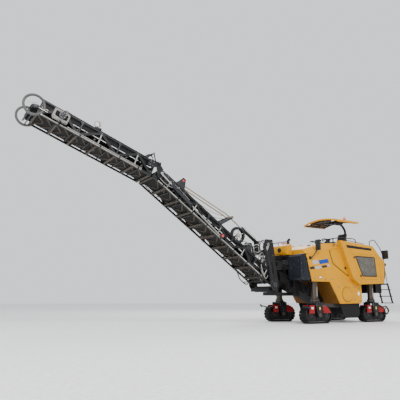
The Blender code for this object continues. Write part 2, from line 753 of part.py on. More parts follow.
def track_frame(core, crown, half, place):
    """Roller frame inside the loop, its pivot pin and the fork that carries it."""
    cheek = [(-0.17, crown + 0.03), (-0.17, crown - 0.06), (-0.07, 0.20), (0.07, 0.20), (0.17, crown - 0.06),
             (0.17, crown + 0.03)]
    pieces = [slab([core], -half + 0.05, half - 0.05, place)]
    for sign in SIDES.values():
        pieces.append(side_slab(sign, [cheek], half + 0.02, half + 0.055, place))
    middle = TRACK_HEIGHT / 2
    origin = place.to_translation()
    pieces.append(rod(origin + Vector((0, -half - 0.03, middle)), origin + Vector((0, half + 0.03, middle)), 0.05, 16))
    pieces.append(slab([[(-0.17, crown), (0.17, crown), (0.17, crown + 0.05), (-0.17, crown + 0.05)]], -half - 0.055,
                       half + 0.055, place))
    boss = origin + Vector((0, 0, crown + 0.04))
    pieces.append(rod(boss, boss + Vector((0, 0, 0.04)), LEG_RADIUS + 0.03, 24))
    return united(pieces)


def track_guard(half, place):
    """Red side guards ahead of and behind the fork, joined by a strip over the loop."""
    top = TRACK_HEIGHT + 0.012
    front = [(0.18, top + 0.02), (0.20, 0.33), (0.44, 0.33), (0.40, top + 0.02)]
    rear = [(-0.18, top + 0.02), (-0.19, 0.34), (-0.56, 0.34), (-0.42, 0.52), (-0.28, top + 0.02)]
    pieces = [slab([[(-0.28, top), (0.40, top), (0.40, top + 0.015), (-0.28, top + 0.015)]], GAP - half - 0.02, half + 0.02 - GAP,
                   place)]
    for sign in SIDES.values():
        pieces.append(side_slab(sign, [front], half + 0.006, half + 0.0185, place))
        pieces.append(side_slab(sign, [rear], half + 0.006, half + 0.0185, place))
    return united(pieces)


def leg(crown, origin):
    start = origin + Vector((0, 0, crown + 0.08 + GAP))
    flange = rod(start, start + Vector((0, 0, 0.05)), LEG_RADIUS + 0.035, 24)
    column = rod(start + Vector((0, 0, 0.02)), origin + Vector((0, 0, LEG_TOP)), LEG_RADIUS, 32)
    return united([column, flange])


# ---- conveyor -------------------------------------------------------------------------------
def truss(length, low, high, start, place, side):
    """One side of a conveyor section: chords, posts and alternating diagonals."""
    chord = 0.05
    post = 0.045
    count = int((length - start) / BAY)
    step = (length - start) / count
    outline = [(start, low), (length, low), (length, high), (start, high)]
    holes = []
    for i in range(count):
        left = start + i * step + post / 2 + (post / 2 if i == 0 else 0)
        right = start + (i + 1) * step - post / 2 - (post / 2 if i == count - 1 else 0)
        bottom = low + chord
        top = high - chord
        reach = post * 1.1
        if i % 2:
            holes.append([(left, bottom), (right - reach, bottom), (left, top - reach)])
            holes.append([(right, top), (left + reach, top), (right, bottom + reach)])
        else:
            holes.append([(right, bottom), (right, top - reach), (left + reach, bottom)])
            holes.append([(left, top), (left, bottom + reach), (right - reach, top)])
    return side_slab(side, [outline, *holes], CONVEYOR_HALF - SIDE_THICK, CONVEYOR_HALF, place), step, count


def cross_bars(place, start, step, count, low, height):
    bars = []
    for i in range(count + 1):
        s = start + i * step
        s = min(max(s, start + 0.03), start + count * step - 0.03)
        bars.append(slab([[(s - 0.02, low), (s + 0.02, low), (s + 0.02, low + height), (s - 0.02, low + height)]],
                         -CONVEYOR_HALF + 0.01, CONVEYOR_HALF - 0.01, place))
    return bars


def lower_frame():
    place = lower_place()
    start = -0.06
    left, step, count = truss(LOWER_LENGTH, LOWER_LOW, LOWER_TOP, start, place, 1)
    right, _, _ = truss(LOWER_LENGTH, LOWER_LOW, LOWER_TOP, start, place, -1)
    pieces = [left, right, *cross_bars(place, start, step, count, LOWER_LOW + 0.004, 0.034)]
    hinge = (LOWER_LENGTH + 0.065, LOWER_TOP + HINGE_ABOVE)
    lug = [(LOWER_LENGTH - 0.16, LOWER_TOP - 0.03), (LOWER_LENGTH - 0.01, LOWER_TOP - 0.09),
           *circle(*hinge, 0.045, 8, -50, 180), (LOWER_LENGTH - 0.14, LOWER_TOP + 0.04)]
    rocker_y = CONVEYOR_HALF - SIDE_THICK
    bracket = [(STAY_LUG[0] - 0.22, LOWER_TOP - 0.02), (STAY_LUG[0] + 0.16, LOWER_TOP - 0.02),
               (STAY_LUG[0] + 0.05, STAY_LUG[1]), (STAY_LUG[0] - 0.05, STAY_LUG[1])]
    for sign in SIDES.values():
        pieces.append(side_slab(sign, [lug], CONVEYOR_HALF - 0.044, CONVEYOR_HALF - 0.001, place))
        pieces.append(side_slab(sign, [bracket], rocker_y + 0.006, CONVEYOR_HALF - 0.006, place))
        foot = FOOT + Vector((0, sign * (CONVEYOR_HALF - 0.02), 0))
        pieces.append(rod(foot, FOOT + Vector((0, sign * (YOKE_INNER - GAP), 0)), 0.06, 20))
    pin = lower_at(*hinge)
    pieces.append(rod(pin + Vector((0, -0.575, 0)), pin + Vector((0, 0.575, 0)), 0.022, 16))
    stay = lower_at(STAY_LUG[0], STAY_LUG[1] - 0.03)
    pieces.append(rod(stay + Vector((0, -0.47, 0)), stay + Vector((0, 0.47, 0)), 0.025, 12))
    base = lower_at(*FOLD_BASE)
    pieces.append(rod(base + Vector((0, CONVEYOR_HALF - 0.02, 0)), base + Vector((0, FOLD_Y + 0.045, 0)), 0.022, 16))
    pad = [(FOLD_BASE[0] - 0.07, -0.02), (FOLD_BASE[0] + 0.07, -0.02), (FOLD_BASE[0] + 0.07, 0.12), (FOLD_BASE[0] - 0.07, 0.12)]
    pieces.append(slab([pad], CONVEYOR_HALF - 0.03, CONVEYOR_HALF + 0.012, place))
    web = [(FOLD_BASE[0] - 0.10, LOWER_LOW + 0.01), (FOLD_BASE[0] + 0.10, LOWER_LOW + 0.01),
           (FOLD_BASE[0] + 0.10, 0.14), (FOLD_BASE[0] - 0.10, 0.14)]
    pieces.append(slab([web], CONVEYOR_HALF - 0.035, CONVEYOR_HALF - 0.01, place))
    tail = lower_at(TAIL_S, LOWER_TOP - BELT_DEPTH - TAIL_R - BELT_THICK)
    reach = CONVEYOR_HALF - 0.02
    pieces.append(rod(tail + Vector((0, -reach, 0)), tail + Vector((0, reach, 0)), 0.03, 12))
    pieces.append(rod(tail + Vector((0, -BELT_HALF - 0.02, 0)), tail + Vector((0, BELT_HALF + 0.02, 0)), TAIL_R * PULLEY_FIT, 24))
    node("lower_frame", "lower", "black", united(pieces))


FOLD_Y = 0.587
TAIL_S = 0.10
TAIL_R = 0.062
HEAD_R = 0.085
PULLEY_FIT = 0.975        # keeps the pulley inside the belt's faceted bend


def belt_outline(s_round, s_open, t_top, radius):
    """A belt strand that runs round one pulley and is open at its other end."""
    sign = 1 if s_round > s_open else -1
    outer = radius + BELT_THICK
    middle = t_top - outer
    start = -90 if sign > 0 else 270
    turn = 180 if sign > 0 else -180
    outside = circle(s_round, middle, outer, 9, start, turn)
    inside = circle(s_round, middle, radius, 9, start + turn, -turn)
    return ([(s_open, middle - outer)] + outside + [(s_open, middle + outer), (s_open, middle + radius)] + inside
            + [(s_open, middle - radius)])


def belts():
    end = LOWER_LENGTH - 0.01
    outline = belt_outline(TAIL_S, end, LOWER_TOP - BELT_DEPTH, TAIL_R)
    node("lower_belt", "lower", "belt", slab([outline], -BELT_HALF, BELT_HALF, lower_place()))
    outline = belt_outline(HEAD_S, 0.075, -HINGE_ABOVE - BELT_DEPTH + 0.02, HEAD_R)
    node("upper_belt", "upper", "belt", slab([outline], -BELT_HALF, BELT_HALF, upper_place()))


HEAD_S = UPPER_LENGTH + 0.10


def upper_frame():
    place = upper_place()
    start = 0.10
    left, step, count = truss(UPPER_LENGTH, -UPPER_DEPTH, -0.0, start, place, 1)
    right, _, _ = truss(UPPER_LENGTH, -UPPER_DEPTH, -0.0, start, place, -1)
    pieces = [left, right, *cross_bars(place, start, step, count, -UPPER_DEPTH + 0.004, 0.034)]
    head_t = -HINGE_ABOVE - BELT_DEPTH + 0.02 - HEAD_R - BELT_THICK
    lever = [fold_local(-0.045, 0.03), fold_local(-0.33, -0.29), fold_local(-0.20, -0.36), fold_local(0.02, -0.14),
             (0.16, -0.22), (0.34, -0.20), (0.34, 0.0), (0.03, 0.045)]
    for sign in SIDES.values():
        hole = circle(0.0, 0.0, 0.022 + PIN_PLAY, 16)
        pieces.append(side_slab(sign, [lever, hole], CONVEYOR_HALF + 0.014, CONVEYOR_HALF + 0.038, place))
        pad = [(0.14, -0.18), (0.30, -0.18), (0.30, -0.005), (0.14, -0.005)]
        pieces.append(side_slab(sign, [pad], CONVEYOR_HALF - 0.02, CONVEYOR_HALF + 0.02, place))
        side = sign * (CONVEYOR_HALF - SIDE_THICK / 2)
        ring = [place @ Vector((s, side, t)) for s, t in circle(HEAD_S + 0.04, head_t + 0.03, HOOP_RADIUS, 20)]
        pieces.append(tube(ring, 0.02, resolution=1, cyclic=True))
        stub = [(UPPER_LENGTH - 0.02, head_t - 0.05), (HEAD_S + 0.05, head_t - 0.05), (HEAD_S + 0.05, head_t + 0.05),
                (UPPER_LENGTH - 0.02, head_t + 0.05)]
        pieces.append(side_slab(sign, [stub], CONVEYOR_HALF - SIDE_THICK, CONVEYOR_HALF - 0.004, place))
    head = upper_at(HEAD_S, head_t)
    reach = CONVEYOR_HALF - 0.02
    pieces.append(rod(head + Vector((0, -reach, 0)), head + Vector((0, reach, 0)), 0.03, 12))
    pieces.append(rod(head + Vector((0, -BELT_HALF - 0.02, 0)), head + Vector((0, BELT_HALF + 0.02, 0)), HEAD_R * PULLEY_FIT, 24))
    node("upper_frame", "upper", "black", united(pieces))


def fold_local(s, t):
    """A point given about the fold hinge along the lower section, in the upper section's frame."""
    turn = Matrix.Rotation(math.radians(LOWER_SLOPE - UPPER_SLOPE), 2)
    spot = turn @ Vector((s, t))
    return spot.x, spot.y


def yoke():
    plate = [(2.90, 2.72), (3.18, 2.72), (3.30, 2.46), (3.08, 1.78), (3.02, 1.22), (2.92, 1.06), (2.74, 1.04),
             (2.68, 1.22), (2.80, 2.00), (2.86, 2.50)]
    pieces = []
    for sign in SIDES.values():
        pieces.append(side_slab(sign, [plate], YOKE_INNER, YOKE_INNER + YOKE_PLATE))
        pieces.append(mirrored_block(sign, (LUFF_BASE.x - 0.07, 0.060, 2.32), (LUFF_BASE.x + 0.07, 0.085, LUFF_BASE.z + 0.06)))
    low = 1.015 + GAP
    high = 2.24 + GAP
    pieces.append(rod((SLEW_X, 0, low), (SLEW_X, 0, low + 0.09), 0.15, 24))
    pieces.append(block((SLEW_X, -0.12, low + 0.002), (2.76, 0.12, low + 0.085)))
    pieces.append(block((2.70, -0.56, low + 0.003), (2.80, 0.56, low + 0.083)))
    pieces.append(rod((SLEW_X, 0, high), (SLEW_X, 0, high + 0.10), 0.11, 24))
    pieces.append(block((SLEW_X, -0.10, high + 0.002), (3.10, 0.10, high + 0.095)))
    pieces.append(block((2.98, -0.56, high + 0.003), (3.14, 0.56, high + 0.15)))
    pieces.append(rod((LUFF_BASE.x, -0.075, LUFF_BASE.z), (LUFF_BASE.x, 0.075, LUFF_BASE.z), 0.022, 16))
    node("yoke", "slew", "grey", united(pieces))


def rocker():
    foot = lower_at(*ROCKER_FOOT)
    tip = lower_at(*ROCKER_TIP)
    brace = foot.lerp(tip, 0.45)
    pieces = [rod(foot + Vector((0, -0.49, 0)), foot + Vector((0, 0.49, 0)), 0.042 - GAP, 16),
              rod(brace + Vector((0, -0.27, 0)), brace + Vector((0, 0.27, 0)), 0.022, 12)]
    for sign in SIDES.values():
        pieces.append(bar(foot + Vector((0, sign * 0.42, 0)), tip + Vector((0, sign * 0.095, 0)), 0.035, 0.09))
        pieces.append(rod(tip + Vector((0, sign * 0.06, 0)), tip + Vector((0, sign * 0.13, 0)), 0.045, 20))
    node("rocker", "lower", "grey", united(pieces))


def stay_rope():
    tip = lower_at(*ROCKER_TIP)
    lug = lower_at(STAY_LUG[0], STAY_LUG[1] - 0.03)
    along = (lug - tip).normalized()
    pieces = []
    start = tip + along * ROPE_START + Vector((0, STAY_Y, 0))
    end = lug - along * (0.025 + GAP) + Vector((0, STAY_Y, 0))
    pieces.append(rod(start, end, 0.011, 8))
    node("stay_rope", "lower", "steel", pieces[0])


def ram(base, tip, bore_end, barrel_r, rod_r, y, deep, eye_half):
    """Barrel and rod of a cylinder between two pins, as two pieces."""
    base = Vector(base) + Vector((0, y, 0))
    tip = Vector(tip) + Vector((0, y, 0))
    along = (tip - base).normalized()
    barrel = united([rod(base + along * 0.03, base + along * bore_end, barrel_r, 20),
                     rod(base + Vector((0, -eye_half, 0)), base + Vector((0, eye_half, 0)), 0.045, 20)])
    hole = rod(base + along * (deep - 0.03), base + along * (bore_end + 0.1), rod_r + 0.001, 20)
    pin = rod(base + Vector((0, -0.1, 0)), base + Vector((0, 0.1, 0)), 0.022 + PIN_PLAY, 20)
    barrel = cut(barrel, [hole, pin])
    shaft = united([rod(base + along * deep, tip - along * 0.03, rod_r, 16),
                    rod(tip + Vector((0, -0.038, 0)), tip + Vector((0, 0.038, 0)), 0.042, 20)])
    return barrel, shaft


def rams():
    barrel, shaft = ram(LUFF_BASE, lower_at(*ROCKER_TIP), LUFF_BORE_END, 0.055, 0.03, 0.0, 0.20, 0.0597)
    node("luff_barrel", "luff_barrel", "black", barrel, smooth=True)
    node("luff_rod", "luff_rod", "steel", shaft, smooth=True)
    barrel, shaft = ram(lower_at(*FOLD_BASE), fold_pin(), 0.86, 0.042, 0.02, FOLD_Y, 0.16, 0.035)
    node("fold_barrel", "fold_barrel", "grey", barrel, smooth=True)
    node("fold_rod", "fold_rod", "steel", shaft, smooth=True)


def drive_motor():
    """Belt drive on the left of the head pulley."""
    place = upper_place()
    outline = [(2.86, -0.36), (3.26, -0.36), (3.30, -0.30), (3.30, -0.10), (2.90, -0.10), (2.86, -0.14)]
    case = slab([outline], CONVEYOR_HALF + GAP, CONVEYOR_HALF + 0.14, place)
    centre = upper_at(3.06, -0.23)
    nose = rod(centre + Vector((0, 0.55, 0)), centre + Vector((0, 0.72, 0)), 0.09, 20)
    node("drive_motor", "upper", "graphite", united([case, nose]))


# ---- whole machine -----------------------------------------------------------------------------
def shift_to_base():
    """Moves the root so that the origin is the centre of the base of everything built."""
    bpy.context.view_layer.update()
    graph = bpy.context.evaluated_depsgraph_get()
    corners = []
    for piece in parts.objects:
        if piece.type == "MESH":
            seen = piece.evaluated_get(graph)
            corners += [seen.matrix_world @ Vector(c) for c in seen.bound_box]
    spots = np.array([list(c) for c in corners])
    low = spots.min(axis=0)
    high = spots.max(axis=0)
    shift = Vector((-(low[0] + high[0]) / 2, -(low[1] + high[1]) / 2, -low[2]))
    empties["machine"].location = shift
    bpy.context.view_layer.update()


def build():
    global parts, cutters
    clear_scene()
    parts = new_collection("cold_planer")
    cutters = new_collection("construction", hidden=True)
    make_axes()
    main_frame()
    drum_housing()
    intake_conveyor()
    milling_drum()
    scraper()
    side_skids()
    side_panels()
    hood()
    engine()
    rear_body()
    rear_boxes()
    front_boxes()
    front_cover()
    operator_seat()
    handrail()
    canopy()
    ladder()
    mirrors()
    tracks()
    yoke()
    lower_frame()
    belts()
    upper_frame()
    rocker()
    stay_rope()
    rams()
    drive_motor()
    shift_to_base()


build()
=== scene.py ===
"""Looks of a cold planer milling machine, laid out as a Blender add-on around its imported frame.

Every place is drawn from a datum on the ground midway between the axles, X forward, Y left and
Z up, in metres.  The frame's own origin is the centre of its base, so each finished piece is
shifted once, by the distance between the two.
"""

import sys

import json
import math

import bmesh
import bpy
from bpy.props import FloatProperty, FloatVectorProperty, IntProperty, PointerProperty
from mathutils import Matrix, Vector
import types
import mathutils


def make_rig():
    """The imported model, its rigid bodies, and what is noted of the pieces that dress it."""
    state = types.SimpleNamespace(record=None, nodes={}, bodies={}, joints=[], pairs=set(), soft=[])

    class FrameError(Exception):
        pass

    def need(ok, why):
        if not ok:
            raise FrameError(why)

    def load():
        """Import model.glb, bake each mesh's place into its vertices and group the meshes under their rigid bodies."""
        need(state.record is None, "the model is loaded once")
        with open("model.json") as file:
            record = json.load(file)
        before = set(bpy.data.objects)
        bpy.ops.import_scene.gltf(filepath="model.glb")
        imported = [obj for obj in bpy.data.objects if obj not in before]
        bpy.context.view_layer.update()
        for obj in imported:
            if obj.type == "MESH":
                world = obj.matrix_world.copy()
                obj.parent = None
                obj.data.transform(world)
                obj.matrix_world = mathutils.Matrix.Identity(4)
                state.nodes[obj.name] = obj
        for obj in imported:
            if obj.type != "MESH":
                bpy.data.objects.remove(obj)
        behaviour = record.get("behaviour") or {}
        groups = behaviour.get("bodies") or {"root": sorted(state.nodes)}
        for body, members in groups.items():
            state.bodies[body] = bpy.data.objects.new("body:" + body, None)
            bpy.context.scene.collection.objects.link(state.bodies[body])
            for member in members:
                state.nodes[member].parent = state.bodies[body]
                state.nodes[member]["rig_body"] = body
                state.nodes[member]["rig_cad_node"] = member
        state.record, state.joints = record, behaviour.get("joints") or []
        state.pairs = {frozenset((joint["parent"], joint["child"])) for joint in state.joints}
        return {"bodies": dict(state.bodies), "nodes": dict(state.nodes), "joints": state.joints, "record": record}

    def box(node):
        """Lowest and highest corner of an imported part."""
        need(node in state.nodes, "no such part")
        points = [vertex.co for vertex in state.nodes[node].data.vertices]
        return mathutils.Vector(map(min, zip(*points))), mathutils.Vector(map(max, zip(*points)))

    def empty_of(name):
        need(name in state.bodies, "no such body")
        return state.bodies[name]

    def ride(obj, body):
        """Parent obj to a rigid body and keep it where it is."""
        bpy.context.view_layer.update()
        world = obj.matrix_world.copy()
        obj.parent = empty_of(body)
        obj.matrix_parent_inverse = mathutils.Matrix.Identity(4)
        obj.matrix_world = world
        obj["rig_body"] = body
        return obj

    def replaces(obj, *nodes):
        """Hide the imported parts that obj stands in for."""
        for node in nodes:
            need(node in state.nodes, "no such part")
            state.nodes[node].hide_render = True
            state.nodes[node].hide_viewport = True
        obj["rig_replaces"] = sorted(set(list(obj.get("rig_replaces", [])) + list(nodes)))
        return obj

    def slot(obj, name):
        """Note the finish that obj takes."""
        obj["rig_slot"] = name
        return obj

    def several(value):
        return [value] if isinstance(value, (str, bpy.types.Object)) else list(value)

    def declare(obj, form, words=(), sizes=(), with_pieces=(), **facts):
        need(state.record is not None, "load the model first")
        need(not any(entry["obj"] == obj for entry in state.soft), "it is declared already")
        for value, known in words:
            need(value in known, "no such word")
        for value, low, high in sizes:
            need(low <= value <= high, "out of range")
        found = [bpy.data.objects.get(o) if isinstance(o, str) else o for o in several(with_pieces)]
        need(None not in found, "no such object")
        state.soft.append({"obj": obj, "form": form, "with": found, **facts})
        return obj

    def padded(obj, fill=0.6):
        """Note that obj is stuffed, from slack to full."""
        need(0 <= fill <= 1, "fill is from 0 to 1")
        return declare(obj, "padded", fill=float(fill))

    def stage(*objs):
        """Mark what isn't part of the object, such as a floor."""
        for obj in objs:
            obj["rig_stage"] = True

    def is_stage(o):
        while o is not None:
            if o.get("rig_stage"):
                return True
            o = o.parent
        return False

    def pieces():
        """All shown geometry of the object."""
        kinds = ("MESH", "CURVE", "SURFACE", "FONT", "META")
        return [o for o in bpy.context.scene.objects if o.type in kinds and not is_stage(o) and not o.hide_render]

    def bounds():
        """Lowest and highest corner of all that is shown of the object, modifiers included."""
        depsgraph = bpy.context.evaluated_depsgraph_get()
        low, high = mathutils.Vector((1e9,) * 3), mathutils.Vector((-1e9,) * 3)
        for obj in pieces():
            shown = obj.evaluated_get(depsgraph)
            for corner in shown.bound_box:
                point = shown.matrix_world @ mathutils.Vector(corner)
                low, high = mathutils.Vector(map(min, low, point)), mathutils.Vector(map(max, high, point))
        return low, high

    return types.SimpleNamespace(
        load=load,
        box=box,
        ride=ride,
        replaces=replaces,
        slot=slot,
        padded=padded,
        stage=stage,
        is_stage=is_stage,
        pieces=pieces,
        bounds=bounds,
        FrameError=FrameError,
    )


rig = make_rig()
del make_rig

bl_info = {
    "name": "Cold planer looks",
    "version": (1, 0, 0),
    "blender": (4, 5, 0),
    "location": "View3D > Sidebar > Planer",
    "description": "Adds the paint, tracks, conveyor details and fittings of a cold planer to its frame",
    "category": "Object",
}

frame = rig.load()
CAD_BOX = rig.bounds()
JOINTS = {joint["name"]: joint for joint in frame["joints"]}

# ---- places taken from the frame -------------------------------------------------------------
SLEW_FROM_DATUM = 2.52


def joint_place(name):
    return Vector(JOINTS[name]["pos_m"])


def joint_axis(name):
    return Vector(JOINTS[name]["axis"]).normalized()


SHIFT = Vector((joint_place("conveyor_slew").x - SLEW_FROM_DATUM, 0.0, 0.0))
FOOT = joint_place("conveyor_luff") - SHIFT
FOLD = joint_place("conveyor_fold") - SHIFT
LUFF_BASE = joint_place("luff_barrel_swing") - SHIFT
FOLD_BASE = joint_place("fold_barrel_swing") - SHIFT
DRUM = joint_place("drum_spin") - SHIFT
SIDES = {"left": 1, "right": -1}
ENDS = {"front": 1, "rear": -1}


def datum_box(node):
    low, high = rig.box(node)
    return low - SHIFT, high - SHIFT


PANEL_FACE = datum_box("side_panel_left")[1].y
DOOR_FACE = 1.25
TRACK_LOW, TRACK_HIGH = datum_box("track_front_left")
TRACK_LENGTH = TRACK_HIGH.x - TRACK_LOW.x
TRACK_HEIGHT = TRACK_HIGH.z
TRACK_HALF = (TRACK_HIGH.y - TRACK_LOW.y) / 2
AXLE_X = joint_place("steer_front_left").x - SHIFT.x
TRACK_Y = joint_place("steer_front_left").y

LOWER_SLOPE = math.radians(35.0)
UPPER_SLOPE = math.radians(20.2)
LOWER_LENGTH = 5.4
UPPER_LENGTH = 3.66
CONVEYOR_HALF = 0.5
LOWER_TOP, LOWER_LOW = 0.306, -0.08
UPPER_TOP, UPPER_LOW = 0.0, -0.45
HEAD_PULLEY = (3.76, -0.295)


def on_lower(s, t, y=0.0):
    """A place s along and t above the lower conveyor section."""
    return Vector((FOOT.x + s * math.cos(LOWER_SLOPE) - t * math.sin(LOWER_SLOPE), y,
        FOOT.z + s * math.sin(LOWER_SLOPE) + t * math.cos(LOWER_SLOPE)))


def on_upper(s, t, y=0.0):
    """A place s along and t above the upper conveyor section, from the folding hinge."""
    return Vector((FOLD.x + s * math.cos(UPPER_SLOPE) - t * math.sin(UPPER_SLOPE), y,
        FOLD.z + s * math.sin(UPPER_SLOPE) + t * math.cos(UPPER_SLOPE)))


# ---- mesh tools --------------------------------------------------------------------------------
class Shape:
    """A mesh under construction.  Each shape added takes the finish named last by use()."""

    def __init__(self, name, finish):
        self.name = name
        self.bm = bmesh.new()
        self.finishes = [finish]
        self.slot = 0
        self.turn = Matrix.Identity(4)

    def use(self, finish):
        if finish not in self.finishes:
            self.finishes.append(finish)
        self.slot = self.finishes.index(finish)
        return self

    def at(self, matrix=None):
        """Everything added next is placed by this matrix."""
        self.turn = matrix if matrix is not None else Matrix.Identity(4)
        return self

    def finish_faces(self, verts):
        faces = {face for vert in verts for face in vert.link_faces}
        for face in faces:
            face.material_index = self.slot
        bmesh.ops.transform(self.bm, matrix=self.turn, verts=list(verts))
        return list(faces)

    def block(self, low, high, chamfer=0.0):
        low, high = Vector(map(min, low, high)), Vector(map(max, low, high))
        place = Matrix.Translation((low + high) / 2) @ Matrix.Diagonal((*(high - low), 1.0))
        verts = bmesh.ops.create_cube(self.bm, size=1.0, matrix=place)["verts"]
        return self._chamfered(verts, chamfer)

    def lump(self, middle, half, chamfer=0.0):
        """A block given by its middle and its half sizes."""
        return self.block(middle - Vector(half), middle + Vector(half), chamfer)

    def _chamfered(self, verts, chamfer):
        if chamfer:
            edges = {edge for vert in verts for edge in vert.link_edges}
            made = bmesh.ops.bevel(self.bm, geom=list(edges), offset=chamfer, segments=2, profile=0.6,
                affect="EDGES", clamp_overlap=True)
            verts = {vert for face in made["faces"] for vert in face.verts} | {
                v for v in verts if v.is_valid}
        return self.finish_faces(verts)

    def rod(self, start, end, radius, count=16, radius_end=None, chamfer=0.0):
        start, end = Vector(start), Vector(end)
        along = end - start
        place = Matrix.Translation((start + end) / 2) @ along.to_track_quat("Z", "Y").to_matrix().to_4x4()
        verts = bmesh.ops.create_cone(self.bm, cap_ends=True, segments=count, radius1=radius,
            radius2=radius if radius_end is None else radius_end, depth=along.length, matrix=place)["verts"]
        if chamfer:
            rims = {e for v in verts for e in v.link_edges if any(len(f.verts) > 4 for f in e.link_faces)}
            made = bmesh.ops.bevel(self.bm, geom=list(rims), offset=chamfer, segments=2, profile=0.6,
                affect="EDGES")
            verts = {v for f in made["faces"] for v in f.verts} | {v for v in verts if v.is_valid}
        return self.finish_faces(verts)

    def bar(self, start, end, width, height, chamfer=0.0):
        """A rectangular bar between two places, with its width level."""
        start, end = Vector(start), Vector(end)
        along = (end - start).normalized()
        level = Vector((0, 0, 1)).cross(along)
        level = level.normalized() if level.length > 1e-4 else Vector((0, 1, 0))
        up = along.cross(level)
        turn = Matrix((along, level, up)).transposed().to_4x4()
        size = Matrix.Diagonal(((end - start).length, width, height, 1.0))
        place = Matrix.Translation((start + end) / 2) @ turn @ size
        verts = bmesh.ops.create_cube(self.bm, size=1.0, matrix=place)["verts"]
        return self._chamfered(verts, chamfer)

    def plate(self, outline, low, high, side=1, place=None, chamfer=0.0):
        """An outline in X and Z, made solid from low to high on one side of the middle plane."""
        lift = place or (lambda x, z, y: Vector((x, y, z)))
        near = [self.bm.verts.new(lift(x, z, side * high)) for x, z in outline]
        far = [self.bm.verts.new(lift(x, z, side * low)) for x, z in outline]
        faces = [self.bm.faces.new(near), self.bm.faces.new(far[::-1])]
        count = len(outline)
        for i in range(count):
            faces.append(self.bm.faces.new((near[i], far[i], far[(i + 1) % count], near[(i + 1) % count])))
        bmesh.ops.recalc_face_normals(self.bm, faces=faces)
        if not chamfer:
            return self.finish_faces(near + far)
        edges = set(faces[0].edges) | set(faces[1].edges)
        made = bmesh.ops.bevel(self.bm, geom=list(edges), offset=chamfer, segments=2, profile=0.6,
            affect="EDGES")
        verts = {v for f in made["faces"] for v in f.verts} | {v for v in near + far if v.is_valid}
        return self.finish_faces(verts)

    def sweep(self, points, radius, count=8, closed=False, flat=1.0):
        """A round (or flattened) section carried along a path."""
        points = [Vector(p) for p in points]
        total = len(points)
        rings = []
        normal = None
        for i, point in enumerate(points):
            ahead = points[(i + 1) % total] if closed or i < total - 1 else point
            behind = points[i - 1] if closed or i > 0 else point
            along = (ahead - behind).normalized()
            if normal is None:
                normal = along.orthogonal().normalized()
            normal = (normal - along * normal.dot(along)).normalized()
            across = along.cross(normal)
            ring = []
            for k in range(count):
                angle = 2 * math.pi * k / count
                ring.append(self.bm.verts.new(point + normal * radius * math.cos(
                    angle) + across * radius * flat * math.sin(angle)))
            rings.append(ring)
        faces = []
        for i in range(total if closed else total - 1):
            here, there = rings[i], rings[(i + 1) % total]
            for k in range(count):
                faces.append(self.bm.faces.new((here[k], here[(k + 1) % count], there[(k + 1) % count],
                    there[k])))
        if not closed:
            faces.append(self.bm.faces.new(rings[0][::-1]))
            faces.append(self.bm.faces.new(rings[-1]))
        bmesh.ops.recalc_face_normals(self.bm, faces=faces)
        return self.finish_faces([v for ring in rings for v in ring])

    def hoop(self, centre, axis, radius, thick, count=28, section=8):
        turn = Vector(axis).to_track_quat("Z", "Y").to_matrix()
        path = [Vector(centre) + turn @ Vector((radius * math.cos(a), radius * math.sin(a),
            0)) for a in (2 * math.pi * i / count for i in range(count))]
        return self.sweep(path, thick, section, closed=True)

    def bolt(self, place, normal, size=0.012, washer=True):
        """A hexagon head standing on its washer."""
        place, normal = Vector(place), Vector(normal).normalized()
        if washer:
            self.rod(place - normal * 0.002, place + normal * size * 0.22, size * 1.25, 12)
        return self.rod(place, place + normal * size * 0.85, size, 6, size * 0.92)

    def turned(self, centre, axis, profile, count=28):
        """A profile of (distance along, radius) pairs turned about an axis."""
        axis = Vector(axis).normalized()
        side = axis.orthogonal().normalized()
        other = axis.cross(side)
        rings = []
        for along, radius in profile:
            ring = []
            for k in range(count):
                angle = 2 * math.pi * k / count
                spoke = side * math.cos(angle) + other * math.sin(angle)
                ring.append(self.bm.verts.new(Vector(centre) + axis * along + spoke * radius))
            rings.append(ring)
        faces = []
        for here, there in zip(rings, rings[1:]):
            for k in range(count):
                faces.append(self.bm.faces.new((here[k], here[(k + 1) % count], there[(k + 1) % count],
                    there[k])))
        faces.append(self.bm.faces.new(rings[0][::-1]))
        faces.append(self.bm.faces.new(rings[-1]))
        bmesh.ops.recalc_face_normals(self.bm, faces=faces)
        return self.finish_faces([v for ring in rings for v in ring])

    def done(self, body, slot=None, smooth=35.0):
        """The finished object, riding on a body of the frame."""
        mesh = bpy.data.meshes.new(self.name)
        bmesh.ops.transform(self.bm, matrix=Matrix.Translation(SHIFT), verts=self.bm.verts)
        self.bm.to_mesh(mesh)
        self.bm.free()
        for finish in self.finishes:
            mesh.materials.append(finish_of(finish))
        piece = bpy.data.objects.new(self.name, mesh)
        bpy.context.scene.collection.objects.link(piece)
        mesh.shade_smooth()
        mesh.set_sharp_from_angle(angle=math.radians(smooth))
        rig.ride(piece, body)
        if slot:
            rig.slot(piece, slot)
        return piece


def arc(centre, radius, count, start, sweep):
    """Points on an arc in X and Z, angles in degrees."""
    points = []
    for i in range(count + 1):
        angle = math.radians(start + sweep * i / count)
        points.append((centre[0] + radius * math.cos(angle), centre[1] + radius * math.sin(angle)))
    return points


def eased(points, bend, steps=5):
    """A path whose corners are rounded, for pipes and hoses."""
    points = [Vector(p) for p in points]
    path = [points[0]]
    for before, corner, after in zip(points, points[1:], points[2:]):
        into, out = corner - before, after - corner
        reach = min(bend, into.length * 0.45, out.length * 0.45)
        a = corner - into.normalized() * reach
        b = corner + out.normalized() * reach
        for i in range(steps + 1):
            share = i / steps
            path.append(a * (1 - share) ** 2 + corner * 2 * share * (1 - share) + b * share ** 2)
    path.append(points[-1])
    return path


def around(count, radius, turn=0.0):
    """Level and upright offsets of places spread evenly on a circle."""
    angles = [2 * math.pi * (k + turn) / count for k in range(count)]
    return [(radius * math.cos(angle), radius * math.sin(angle)) for angle in angles]


